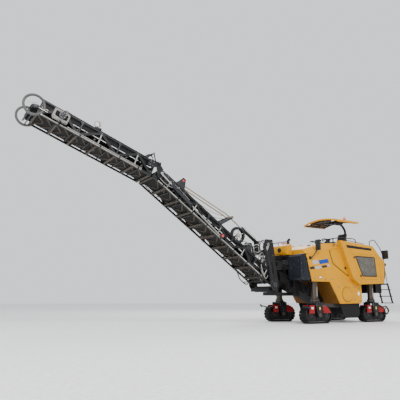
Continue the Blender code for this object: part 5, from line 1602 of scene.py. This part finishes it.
class PLANER_OT_lower_conveyor(bpy.types.Operator):
    """Details the lower conveyor section: belt cleats, rollers, pipes, gussets and the fold bracket"""

    bl_idname = "planer.lower_conveyor"
    bl_label = "Lower conveyor"

    def execute(self, context):
        pitch = context.scene.planer_conveyor.idler_pitch
        step = (LOWER_LENGTH + 0.06) / 10
        cleats("lower_cleats", "lower", on_lower, 0.22, LOWER_LENGTH - 0.18, 0.156, -0.008)
        skirts("lower_skirts", "lower", on_lower, 0.25, LOWER_LENGTH - 0.12, 0.162, 0.292)
        shape = Shape("lower_rollers", "tube_grey")
        idlers(shape, on_lower, [0.42 + k * pitch for k in range(int((LOWER_LENGTH - 0.6) / pitch))], 0.106,
            -0.029)
        ribs(shape, on_lower, -0.06, step, 10, LOWER_LOW - 0.004)
        shape.done("lower", "black")
        sides = Shape("lower_gussets", "frame_grey")
        for sign in (-1, 1):
            gussets(sides, on_lower, -0.06, step, 10, LOWER_LOW, LOWER_TOP, sign)
        sides.done("lower", "grey")
        lines = Shape("lower_pipes", "tube_grey")
        # Thick pale pipe along the near-side lower chord: partly a hydraulic pipe, partly painted highlight along the
        # chord.
        pipes(lines, on_lower, 0.55, 5.2, [(0.514, -0.056)], 0.017)
        pipes(lines, on_lower, 0.9, 3.6, [(0.4, LOWER_TOP + 0.022), (0.43, LOWER_TOP + 0.022)], 0.009)
        pipes(lines, on_lower, 0.7, 5.0, [(-0.514, LOWER_LOW + 0.035), (-0.514, LOWER_LOW + 0.07)], 0.01)
        lines.use("hose_rubber")
        for y, t, far in ((0.475, LOWER_TOP + 0.018, 5.1), (-0.475, LOWER_TOP + 0.018, 5.2),
                (-0.44, LOWER_TOP + 0.018, 4.9)):
            lines.sweep([on_lower(0.5 + (far - 0.5) * k / 12, t, y) for k in range(13)], 0.013, 8)
        lines.done("lower", "grey")
        self.fold_bracket()
        self.foot_fittings()
        self.tail_hoop()
        return {"FINISHED"}

    def fold_bracket(self):
        """Sector plates, curved pipe guards and reflectors by the folding hinge."""
        shape = Shape("fold_bracket", "frame_grey")
        for sign in (-1, 1):
            y = sign * (CONVEYOR_HALF + 0.004)
            lift = lambda s, t, d, y=y, sign=sign: on_lower(s, t, y + sign * d)
            outer = [(4.72, 0.3), (5.3, 0.31), (5.42, 0.2)] + arc((5.0, 0.56), 0.5, 8, -40, -92)[1:]
            shape.use("frame_grey").plate(outer, -0.003, 0.004, 1, lift, 0.002)
            # Near-black discs for the lightening holes: painted shade where the plate is not cut through.
            shape.use("grille_void")
            for s, t, size in ((4.92, 0.17, 0.055), (5.1, 0.1, 0.06), (5.26, 0.18, 0.05)):
                shape.turned(lift(s, t, 0.003), (0, sign, 0), [(0.0, size), (0.0025, size),
                    (0.0025, 0.0005)], 18)
            shape.use("bolt_steel")
            for s, t in ((4.8, 0.27), (5.0, 0.27), (5.2, 0.27), (5.35, 0.22)):
                shape.bolt(lift(s, t, 0.004), (0, sign, 0), 0.012)
            shape.use("frame_black").turned(Vector((FOLD.x, sign * 0.572, FOLD.z)), (0, sign, 0),
                [(0.0, 0.042), (0.01, 0.042), (0.014, 0.036), (0.014, 0.0005)], 20)
            shape.use("tube_grey")
            guard = [on_lower(s, t, sign * 0.525) for s, t in arc((5.02, 0.66), 0.64, 14, -140, 100)]
            shape.sweep(guard, 0.013, 8)
            bracket = [(4.36, 0.3), (4.7, 0.3), (4.6, 0.58), (4.5, 0.58)]
            lift_in = lambda s, t, d, sign=sign: on_lower(s, t, sign * (0.496 + d))
            shape.use("frame_grey").plate(bracket, -0.001, 0.004, 1, lift_in, 0.0015)
            # Red reflector, with a faint painted glow from its finish.
            shape.use("red_lens").lump(on_lower(4.55, 0.53, sign * 0.503), (0.03, 0.005, 0.03), 0.003)
        shape.done("lower", "grey")

    def foot_fittings(self):
        """Hose reel, swivel block, foot hubs and stay shackles on the lower half of the section."""
        shape = Shape("hose_reel", "frame_black")
        hub = on_lower(2.02, 0.46, 0.44)
        shape.hoop(hub, (0, 1, 0), 0.225, 0.05, 36, 10)
        shape.hoop(hub + Vector((0, 0.055, 0)), (0, 1, 0), 0.23, 0.032, 36, 10)
        shape.use("hose_rubber")
        for k in range(3):
            shape.hoop(hub + Vector((0, 0.012 + 0.014 * k, 0)), (0, 1, 0), 0.195, 0.012, 32, 6)
        for k in range(5):
            angle = 2 * math.pi * k / 5 + 0.3
            rim = hub + Vector((0.22 * math.cos(angle), 0, 0.22 * math.sin(angle)))
            shape.use("tube_grey").bar(hub + Vector((0, 0.06, 0)), rim + Vector((0, 0.055, 0)), 0.01, 0.028,
                0.003)
        shape.use("tube_grey").turned(hub + Vector((0, 0.02, 0)), (0, 1, 0),
            [(0.0, 0.07), (0.05, 0.07), (0.058, 0.05), (0.075, 0.045), (0.078, 0.0005)], 22)
        shape.use("frame_grey")
        for s in (1.92, 2.12):
            shape.bar(hub, on_lower(s, LOWER_TOP - 0.01, 0.46), 0.03, 0.05, 0.004)
        shape.use("frame_grey").lump(on_lower(1.45, 0.4, 0.38), (0.1, 0.1, 0.07), 0.012)
        shape.use("tube_grey")
        for k in range(4):
            base = on_lower(1.4 + 0.05 * k, 0.46, 0.34 + 0.02 * k)
            shape.rod(base, base + Vector((0.0, 0, 0.05)), 0.014, 6)
        for offset, high, y in ((0.0, 0.22, 0.4), (0.1, 0.17, 0.44), (0.22, 0.2, 0.36)):
            shape.use("tube_grey" if offset else "hose_rubber").sweep(
                [on_lower(1.15 + offset + 0.4 * k / 12,
                LOWER_TOP + 0.05 + high * math.sin(math.pi * k / 12), y) for k in range(13)], 0.012, 8)
        for sign in (-1, 1):
            shape.use("frame_grey").turned(Vector((FOOT.x, sign * 0.58, FOOT.z)), (0, sign, 0),
                [(0.0, 0.085), (0.016, 0.085), (0.022, 0.075), (0.022, 0.045), (0.034, 0.04),
                (0.036, 0.0005)], 26)
            shape.use("bolt_steel")
            for u, v in around(6, 0.062):
                shape.bolt((FOOT.x + u, sign * 0.602, FOOT.z + v), (0, sign, 0), 0.009, False)
        shape.use("tube_grey")
        for k in range(2):
            spot = on_lower(1.02 + 0.12 * k, 0.62, 0.3 + 0.1 * k)
            shape.hoop(spot, (0.3, 1, 0.1), 0.13, 0.013, 28, 8)
        for s, t, wide in ((0.42, 0.4, 0.2), (0.62, 0.36, 0.15), (0.86, 0.42, 0.12)):
            shape.sweep(eased([on_lower(s - wide, t - 0.06, 0.4), on_lower(s - wide * 0.6, t + 0.2, 0.42),
                on_lower(s + wide * 0.5, t + 0.22, 0.44), on_lower(s + wide, t, 0.46),
                on_lower(s + wide * 0.4, t - 0.1, 0.46)], 0.12), 0.015, 8)
            shape.rod(on_lower(s - wide, t - 0.1, 0.4), on_lower(s - wide, t - 0.02, 0.4), 0.026, 12,
                chamfer=0.003)
        shape.done("lower", "grey")
        stays = Shape("stay_lines", "rope_brown")
        for y in (0.1, -0.1):
            stays.use("rope_brown").sweep([on_lower(2.43, 0.968, y), on_lower(4.5, 0.605, y)], 0.022, 10)
            for s, t in ((2.5, 0.956), (4.42, 0.619)):
                stays.use("bright_steel").rod(on_lower(s - 0.06, t + 0.0105, y),
                    on_lower(s + 0.06, t - 0.0105, y), 0.028, 12, chamfer=0.004)
            stays.use("rope_brown").sweep(hung(on_lower(2.35, 0.99, y * 2), on_lower(4.45, 0.52, y * 2),
                0.26, 18), 0.011, 8)
        stays.done("lower", "steel")
        self.knee_braces()

    def knee_braces(self):
        """Pale strut pairs that run forward from the fold cylinder's mounting."""
        shape = Shape("knee_braces", "tube_grey")
        for sign in (-1, 1):
            root = on_lower(2.35, LOWER_TOP + 0.02, sign * 0.4)
            for s, t, y in ((3.35, LOWER_TOP + 0.03, 0.47), (3.05, LOWER_TOP + 0.03, 0.2)):
                shape.use("tube_grey").sweep([root, on_lower(s, t, sign * y)], 0.016, 10)
            shape.use("frame_grey").block(root - Vector((0.05, 0.03, 0.025)),
                root + Vector((0.05, 0.03, 0.035)), 0.006)
        shape.use("tube_grey").sweep([on_lower(2.52, -0.02, 0.545), on_lower(3.84, 0.045, 0.575)], 0.019, 12)
        shape.use("tube_grey").sweep([on_lower(2.52, -0.02, -0.53), on_lower(3.7, 0.03, -0.53)], 0.019, 12)
        for sign in (-1, 1):
            shape.use("frame_grey").bar(on_lower(2.44, -0.03, sign * 0.53),
                on_lower(2.6, -0.02, sign * 0.53), 0.07, 0.07, 0.008)
            shape.use("frame_grey").bar(on_lower(3.62, 0.035, sign * 0.53),
                on_lower(3.7, 0.035, sign * 0.53), 0.07, 0.05, 0.008)
            # Red reflector, with a faint painted glow from its finish.
            shape.use("red_lens").lump(on_lower(2.5, 0.03, sign * 0.56), (0.04, 0.012, 0.04), 0.005)
        for s in (1.3, 3.6, 4.1):
            shape.use("frame_grey").rod(on_lower(s, LOWER_TOP + 0.018, -0.455),
                on_lower(s, LOWER_TOP + 0.018, 0.455), 0.018, 12)
        shape.done("lower", "grey")

    def tail_hoop(self):
        """Tube hoop and skirt plate under the tail of the section."""
        shape = Shape("tail_hoop", "frame_black")
        for sign in (-1, 1):
            run = [on_lower(0.25, -0.06, sign * 0.49), on_lower(0.3, -0.2, sign * 0.49),
                on_lower(0.62, -0.21, sign * 0.49), on_lower(0.86, -0.06, sign * 0.49)]
            shape.sweep(eased(run, 0.1), 0.018, 8)
            shape.use("frame_grey").turned(on_lower(0.1, 0.074, sign * 0.503), (0, sign, 0),
                [(0.0, 0.05), (0.012, 0.05), (0.018, 0.04), (0.018, 0.0005)], 18)
            shape.use("frame_black")
        shape.rod(on_lower(0.46, -0.205, -0.49), on_lower(0.46, -0.205, 0.49), 0.016, 12)
        shape.done("lower", "black")


class PLANER_OT_upper_conveyor(bpy.types.Operator):
    """Details the upper conveyor section: belt cleats, rollers, pipes, drive, head guards and lamp"""

    bl_idname = "planer.upper_conveyor"
    bl_label = "Upper conveyor"

    def execute(self, context):
        pitch = context.scene.planer_conveyor.idler_pitch
        step = (UPPER_LENGTH - 0.1) / 6
        cleats("upper_cleats", "upper", on_upper, 0.22, UPPER_LENGTH - 0.05, -0.19, -0.4)
        skirts("upper_skirts", "upper", on_upper, 0.22, UPPER_LENGTH - 0.03, -0.184, -0.016)
        shape = Shape("upper_rollers", "tube_grey")
        idlers(shape, on_upper, [0.42 + k * pitch for k in range(int((UPPER_LENGTH - 0.5) / pitch))], -0.24,
            -0.421)
        ribs(shape, on_upper, 0.1, step, 6, UPPER_LOW - 0.004)
        shape.done("upper", "black")
        sides = Shape("upper_gussets", "frame_grey")
        for sign in (-1, 1):
            gussets(sides, on_upper, 0.1, step, 6, UPPER_LOW, UPPER_TOP, sign)
        sides.done("upper", "grey")
        lines = Shape("upper_pipes", "tube_grey")
        # Thick pale pipe along the near-side lower chord: partly a hydraulic pipe, partly painted highlight along the
        # chord.
        pipes(lines, on_upper, 0.45, 3.55, [(0.514, UPPER_LOW + 0.02)], 0.017)
        pipes(lines, on_upper, 0.45, 2.8, [(0.514, UPPER_LOW + 0.062)], 0.011)
        pipes(lines, on_upper, 0.45, 3.3, [(-0.514, UPPER_LOW + 0.035)], 0.01)
        lines.use("hose_rubber")
        for y in (0.475, 0.445, -0.475):
            lines.sweep([on_upper(0.35 + 2.5 * k / 10, UPPER_TOP + 0.018, y) for k in range(11)], 0.013, 8)
        lines.sweep(eased([on_upper(2.85, 0.018, 0.475), on_upper(3.02, 0.03, 0.5),
            on_upper(3.05, -0.06, 0.6), on_upper(3.06, -0.15, 0.62)], 0.06), 0.013, 8)
        lines.sweep(eased([on_upper(2.8, UPPER_LOW + 0.06, 0.514), on_upper(2.95, UPPER_LOW + 0.02, 0.56),
            on_upper(3.1, -0.34, 0.62), on_upper(3.12, -0.28, 0.64)], 0.06), 0.012, 8)
        lines.done("upper", "grey")
        self.drive()
        self.head()
        self.lamp()
        self.hinge_struts()
        return {"FINISHED"}

    def drive(self):
        """Ribs, cover plate, bolts and hose ports on the belt drive."""
        shape = Shape("drive_details", "grille_void")
        lift = lambda s, t, d: on_upper(s, t, 0.64 + d)
        shape.plate([(2.9, -0.31), (3.22, -0.31), (3.25, -0.27), (3.25, -0.15), (2.92, -0.15),
            (2.9, -0.18)], 0.0, 0.004, 1, lift, 0.0015)
        shape.use("tube_grey")
        rim = [(2.885, -0.335), (3.25, -0.335), (3.285, -0.29), (3.285, -0.12), (2.91, -0.12),
            (2.885, -0.15)]
        shape.sweep([lift(s, t, 0.004) for s, t in rim], 0.008, 8, closed=True)
        shape.use("bolt_steel")
        for s, t in rim:
            shape.bolt(lift(s, t, 0.01), (0, 1, 0), 0.008)
        centre = on_upper(3.06, -0.23, 0.72)
        shape.use("frame_grey").turned(centre, (0, 1, 0), [(-0.06, 0.094), (-0.045, 0.098), (-0.01, 0.098),
            (0.0, 0.085), (0.004, 0.05), (0.012, 0.045), (0.014, 0.0005)], 24)
        for u, v in around(6, 0.068):
            spot = centre + Vector((u, 0.0, v))
            shape.use("bolt_steel").bolt(spot, (0, 1, 0), 0.009, False)
        shape.done("upper", "grey")

    def head(self):
        """Bearing blocks, take-up screws, belt wiper and cross stays at the head pulley."""
        shape = Shape("head_fittings", "frame_grey")
        s0, t0 = HEAD_PULLEY
        for sign in (-1, 1):
            shape.use("frame_grey").lump(on_upper(s0 - 0.02, t0, sign * 0.516), (0.07, 0.02, 0.05), 0.01)
            shape.use("bright_steel").rod(on_upper(s0 - 0.34, t0, sign * 0.522),
                on_upper(s0 - 0.08, t0, sign * 0.522), 0.01, 12)
            shape.use("bolt_steel")
            for s in (s0 - 0.3, s0 - 0.12):
                shape.rod(on_upper(s - 0.01, t0, sign * 0.522), on_upper(s + 0.01, t0, sign * 0.522), 0.018,
                    6)
            ring = [on_upper(s, t, sign * 0.4775) for s, t in arc((s0 + 0.04, t0 + 0.03), 0.27, 36, 0, 350)]
            shape.use("hoop_grey").sweep(ring, 0.036, 10, closed=True)
            shape.bar(on_upper(s0 + 0.04 - 0.19, t0 + 0.03 + 0.19, sign * 0.4775),
                on_upper(s0 + 0.04 - 0.19, t0 + 0.03 - 0.19, sign * 0.4775), 0.022, 0.034, 0.005)
            shape.use("frame_black").bar(on_upper(UPPER_LENGTH - 0.02, -0.03, sign * 0.476),
                on_upper(s0 - 0.06, -0.03, sign * 0.476), 0.03, 0.04, 0.005)
        shape.use("frame_black")
        shape.rod(on_upper(s0 - 0.02, t0 - 0.205, -0.46), on_upper(s0 - 0.02, t0 - 0.205, 0.46), 0.016, 12)
        shape.use("hose_rubber").bar(on_upper(s0 + 0.075, t0 - 0.115, -0.38),
            on_upper(s0 + 0.075, t0 - 0.115, 0.38), 0.014, 0.055)
        shape.use("frame_grey").bar(on_upper(s0 + 0.075, t0 - 0.15, -0.44),
            on_upper(s0 + 0.075, t0 - 0.15, 0.44), 0.04, 0.03, 0.004)
        shape.use("bright_steel").sweep([on_upper(s0 - 0.02, -0.1, 0.3), on_upper(s0 + 0.22, -0.17, 0.2)],
            0.007, 6)
        shape.done("upper", "grey")

    def lamp(self):
        """Work lamps on the top chord."""
        shape = Shape("work_lamps", "frame_black")
        for s, y in ((2.02, 0.4), (2.02, -0.4)):
            foot = on_upper(s, 0.0, y)
            shape.use("frame_black").block(foot - Vector((0.11, 0.06, 0.005)),
                foot + Vector((0.11, 0.06, 0.085)), 0.012)
            shape.rod(foot + Vector((0, 0, 0.08)), foot + Vector((0, 0, 0.13)), 0.03, 12)
            shape.use("tube_grey").turned(foot + Vector((-0.02, 0, 0.2)), (1, 0.5, -0.5),
                [(-0.08, 0.045), (-0.03, 0.085), (0.055, 0.098), (0.055, 0.084)], 22)
            shape.use("lamp_lens").turned(foot + Vector((-0.02, 0, 0.2)), (1, 0.5, -0.5),
                [(0.04, 0.084), (0.064, 0.068), (0.072, 0.0005)], 22)
        shape.done("upper", "black")

    def hinge_struts(self):
        """Tube triangles and hose loops over the folding hinge."""
        shape = Shape("hinge_struts", "tube_grey")
        for sign in (-1, 1):
            a = on_upper(0.1, 0.02, sign * 0.47)
            b = on_upper(0.46, 0.02, sign * 0.47)
            c = on_upper(0.24, 0.26, sign * 0.44)
            shape.use("frame_grey").sweep([a, c], 0.02, 10)
            shape.sweep([c, b], 0.02, 10)
            shape.use("tube_grey").turned(c - Vector((0, 0.03, 0)), (0, 1, 0),
                [(0.0, 0.032), (0.06, 0.032), (0.06, 0.0005)], 16)
            shape.use("bolt_steel")
            for s, t in ((0.17, -0.05), (0.27, -0.05), (0.17, -0.15), (0.27, -0.15)):
                shape.bolt(on_upper(s, t, sign * 0.54), (0, sign, 0), 0.012)
        shape.use("frame_grey").rod(on_upper(0.24, 0.26, -0.44), on_upper(0.24, 0.26, 0.44), 0.018, 12)
        for y, high in ((0.36, 0.2), (0.4, 0.15), (-0.38, 0.18)):
            shape.use("hose_rubber").sweep([on_upper(0.12 + 0.36 * k / 12,
                0.01 + high * math.sin(math.pi * k / 12), y) for k in range(13)], 0.012, 8)
        shape.done("upper", "grey")


class PLANER_OT_yoke(bpy.types.Operator):
    """Adds ribs, pins, bolts and cylinder fittings to the slewing yoke, the rocker and the cylinders"""

    bl_idname = "planer.yoke_details"
    bl_label = "Yoke and cylinders"

    def execute(self, context):
        shape = Shape("yoke_details", "frame_grey")
        face = 0.58
        for sign in (-1, 1):
            lift = flank(sign, face)
            path = [(2.94, 2.66), (3.2, 2.46), (3.02, 1.78), (2.96, 1.45)]
            shape.use("frame_grey").sweep([lift(x, z, 0.004) for x, z in path], 0.014, 8)
            # Pale plate at the top of the yoke arm: painted highlight on the dark steel.
            shape.use("tube_grey").plate([(3.02, 2.6), (3.1, 2.6), (3.19, 2.42), (3.13, 2.34)], 0.0, 0.006,
                1, lift, 0.002)
            shape.use("grille_void").plate([(2.93, 1.98), (2.98, 1.98), (2.94, 1.6), (2.86, 1.6)], 0.0,
                0.002, 1, lift)
            shape.use("bolt_steel")
            for x, z in ((2.93, 2.62), (3.16, 2.56), (3.2, 2.42), (2.9, 2.2), (3.05, 1.95), (2.8, 1.4),
                    (2.96, 1.36)):
                shape.bolt(lift(x, z, 0.0), (0, sign, 0), 0.01)
        shape.use("frame_grey").turned(Vector((2.52, 0, 2.338)), (0, 0, 1),
            [(0.0, 0.105), (0.012, 0.105), (0.018, 0.095), (0.018, 0.05), (0.032, 0.045), (0.034, 0.0005)],
            28)
        shape.use("bolt_steel")
        for u, v in around(8, 0.078):
            shape.bolt((2.52 + u, v, 2.356), (0, 0, 1), 0.009, False)
        for sign in (-1, 1):
            shape.use("frame_grey").turned(Vector((LUFF_BASE.x, sign * 0.085, LUFF_BASE.z)), (0, sign, 0),
                [(0.0, 0.036), (0.012, 0.036), (0.016, 0.03), (0.016, 0.0005)], 18)
        shape.use("hose_rubber")
        for k in range(3):
            y = 0.3 + 0.07 * k
            shape.sweep(eased([(3.06, y, 2.48), (3.06, y, 2.64 + 0.03 * k), (3.24, y, 2.7), (3.34, y, 2.5),
                (3.3, y, 2.2), (3.12, y, 2.1)], 0.1), 0.013, 8)
            shape.use("tube_grey" if k != 1 else "hose_rubber")
        shape.use("skid_black").block((2.7, -0.46, 1.03), (3.04, 0.46, 1.15), 0.01)
        shape.use("tube_grey")
        for y, reach in ((0.34, 0.0), (0.44, 0.1), (0.24, 0.18)):
            shape.sweep(eased([(2.98, y, 1.62), (3.16, y + 0.06, 1.5 - reach), (3.3, y + 0.1, 1.7 - reach),
                (3.34, y + 0.04, 2.02 - reach), (3.18, y, 2.16 - reach), (3.04, y, 2.02)], 0.12), 0.014, 8)
        shape.done("slew", "grey")
        self.cylinder("luff", "luff_barrel", LUFF_BASE, joint_axis("luff_rod_slide"), 0.8, 0.055, 0.03)
        self.cylinder("fold", "fold_barrel", FOLD_BASE + Vector((0, 0.587, 0)),
            joint_axis("fold_rod_slide"), 0.86, 0.042, 0.02)
        return {"FINISHED"}

    def cylinder(self, name, body, base, along, reach, radius, rod_radius):
        """Gland nut, weld rings, port blocks and a transfer pipe on one cylinder barrel."""
        base = Vector((base.x, base.y if name == "fold" else 0.0, base.z))
        shape = Shape(f"{name}_gland", "frame_grey")
        shape.turned(base + along * (reach - 0.055), along, [(0.0, radius), (0.0, radius + 0.01),
            (0.04, radius + 0.01), (0.046, radius + 0.004), (0.058, radius + 0.004),
            (0.06, rod_radius + 0.003), (0.0, rod_radius + 0.003)], 24)
        shape.turned(base + along * 0.09, along, [(0.0, radius), (0.0, radius + 0.006),
            (0.02, radius + 0.006), (0.02, radius)], 24)
        side = along.cross(Vector((0, 1, 0))).normalized()
        if side.z < 0:
            side = -side
        for s in (0.14, reach - 0.1):
            spot = base + along * s + side * radius
            shape.use("frame_grey").rod(spot - side * 0.01, spot + side * 0.022, 0.018, 12)
            shape.use("bright_steel").rod(spot + side * 0.02, spot + side * 0.036, 0.013, 6)
        shape.use("tube_grey").sweep(eased([base + along * 0.14 + side * (radius + 0.034),
            base + along * 0.2 + side * (radius + 0.04),
            base + along * (reach - 0.16) + side * (radius + 0.04),
            base + along * (reach - 0.1) + side * (radius + 0.034)], 0.03), 0.008, 8)
        shape.done(body, "black")


# ---- stage -------------------------------------------------------------------------------------------
class PLANER_OT_stage(bpy.types.Operator):
    """Adds the floor, the soft studio lights and the camera"""

    bl_idname = "planer.stage"
    bl_label = "Stage"

    def execute(self, context):
        settings = context.scene.planer_stage
        floor = bpy.data.meshes.new("studio_floor")
        shape = bmesh.new()
        bmesh.ops.create_grid(shape, x_segments=1, y_segments=1, size=60.0)
        shape.to_mesh(floor)
        shape.free()
        floor.materials.append(finish_of("floor_pale"))
        ground = bpy.data.objects.new("studio_floor", floor)
        ground.location.z = -0.002
        context.scene.collection.objects.link(ground)
        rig.stage(ground)

        world = bpy.data.worlds.new("studio_sky")
        world.use_nodes = True
        world.node_tree.nodes["Background"].inputs["Color"].default_value = (0.95, 0.97, 1.0, 1.0)
        world.node_tree.nodes["Background"].inputs["Strength"].default_value = settings.sky
        context.scene.world = world

        target = Vector((-2.0, 0.0, 2.0))
        for name, place, size, power in (("key_light", (4.0, 15.0, 15.0), 9.0, settings.key),
                ("fill_light", (17.0, 6.0, 6.0), 9.0, settings.key * 0.35),
                ("back_light", (-12.0, -10.0, 12.0), 8.0, settings.key * 0.4),):
            light = bpy.data.lights.new(name, "AREA")
            light.shape = "DISK"
            light.size = size
            light.energy = power
            lamp = bpy.data.objects.new(name, light)
            lamp.location = place
            lamp.rotation_euler = (target - Vector(place)).to_track_quat("-Z", "Y").to_euler()
            context.scene.collection.objects.link(lamp)

        camera = bpy.data.cameras.new("camera")
        camera.sensor_width = 36.0
        camera.lens = settings.lens
        camera.clip_end = 200.0
        view = bpy.data.objects.new("camera", camera)
        ahead = Vector((math.sin(settings.yaw) * math.cos(settings.pitch) * 1.0,
            -math.cos(settings.yaw) * math.cos(settings.pitch), math.sin(settings.pitch)))
        turn = ahead.to_track_quat("-Z", "Y").to_matrix().to_4x4() @ Matrix.Rotation(settings.roll, 4, "Z")
        view.matrix_world = Matrix.Translation(Vector(settings.place)) @ turn
        context.scene.collection.objects.link(view)
        context.scene.camera = view
        return {"FINISHED"}


class PlanerStage(bpy.types.PropertyGroup):
    key: FloatProperty(name="Key light", description="Power of the key light in watts", default=3000.0,
        min=0.0)
    sky: FloatProperty(name="Sky", description="Strength of the even sky light", default=1.15, min=0.0,
        max=5.0)
    lens: FloatProperty(name="Lens", description="Focal length in millimetres", default=42.53, min=10.0,
        max=200.0)
    place: FloatVectorProperty(name="Camera place", description="Where the camera stands",
        subtype="TRANSLATION", size=3, unit="LENGTH", default=(8.79, 12.63, 0.79))
    yaw: FloatProperty(name="Turn", description="Turn of the view from straight across the machine",
        default=-0.551, unit="ROTATION")
    pitch: FloatProperty(name="Tilt", description="Upward tilt of the view", default=0.206, unit="ROTATION")
    roll: FloatProperty(name="Roll", description="Roll of the view about its own line", default=0.004,
        unit="ROTATION")


# ---- panel and registration ----------------------------------------------------------------------------
OPERATORS = [value for name, value in list(globals().items()) if name.startswith("PLANER_OT_")]
GROUPS = {
    "planer_look": PlanerLook, "planer_tracks": PlanerTracks, "planer_drum": PlanerDrum,
    "planer_conveyor": PlanerConveyor, "planer_stage": PlanerStage,
}


class PLANER_PT_panel(bpy.types.Panel):
    """Lists the settings and the steps that build the looks"""

    bl_label = "Cold planer"
    bl_idname = "PLANER_PT_panel"
    bl_space_type = "VIEW_3D"
    bl_region_type = "UI"
    bl_category = "Planer"

    def draw(self, context):
        for name, group in GROUPS.items():
            box = self.layout.box()
            for key in group.__annotations__:
                box.prop(getattr(context.scene, name), key)
        for operator in OPERATORS:
            self.layout.operator(operator.bl_idname)


def register():
    for group in GROUPS.values():
        bpy.utils.register_class(group)
    for operator in OPERATORS:
        bpy.utils.register_class(operator)
    bpy.utils.register_class(PLANER_PT_panel)
    for name, group in GROUPS.items():
        setattr(bpy.types.Scene, name, PointerProperty(type=group))


def unregister():
    for name in GROUPS:
        delattr(bpy.types.Scene, name)
    for kind in (PLANER_PT_panel, *reversed(OPERATORS), *reversed(GROUPS.values())):
        bpy.utils.unregister_class(kind)


def main():
    register()
    for operator in OPERATORS:
        group, name = operator.bl_idname.split(".")
        getattr(getattr(bpy.ops, group), name)()
    sizes = {"cad": [list(corner) for corner in CAD_BOX], "looks": [list(corner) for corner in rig.bounds()]}
    with open("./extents.json", "w") as out:
        json.dump(sizes, out, indent=1)


if __name__ == "__main__":
    main()
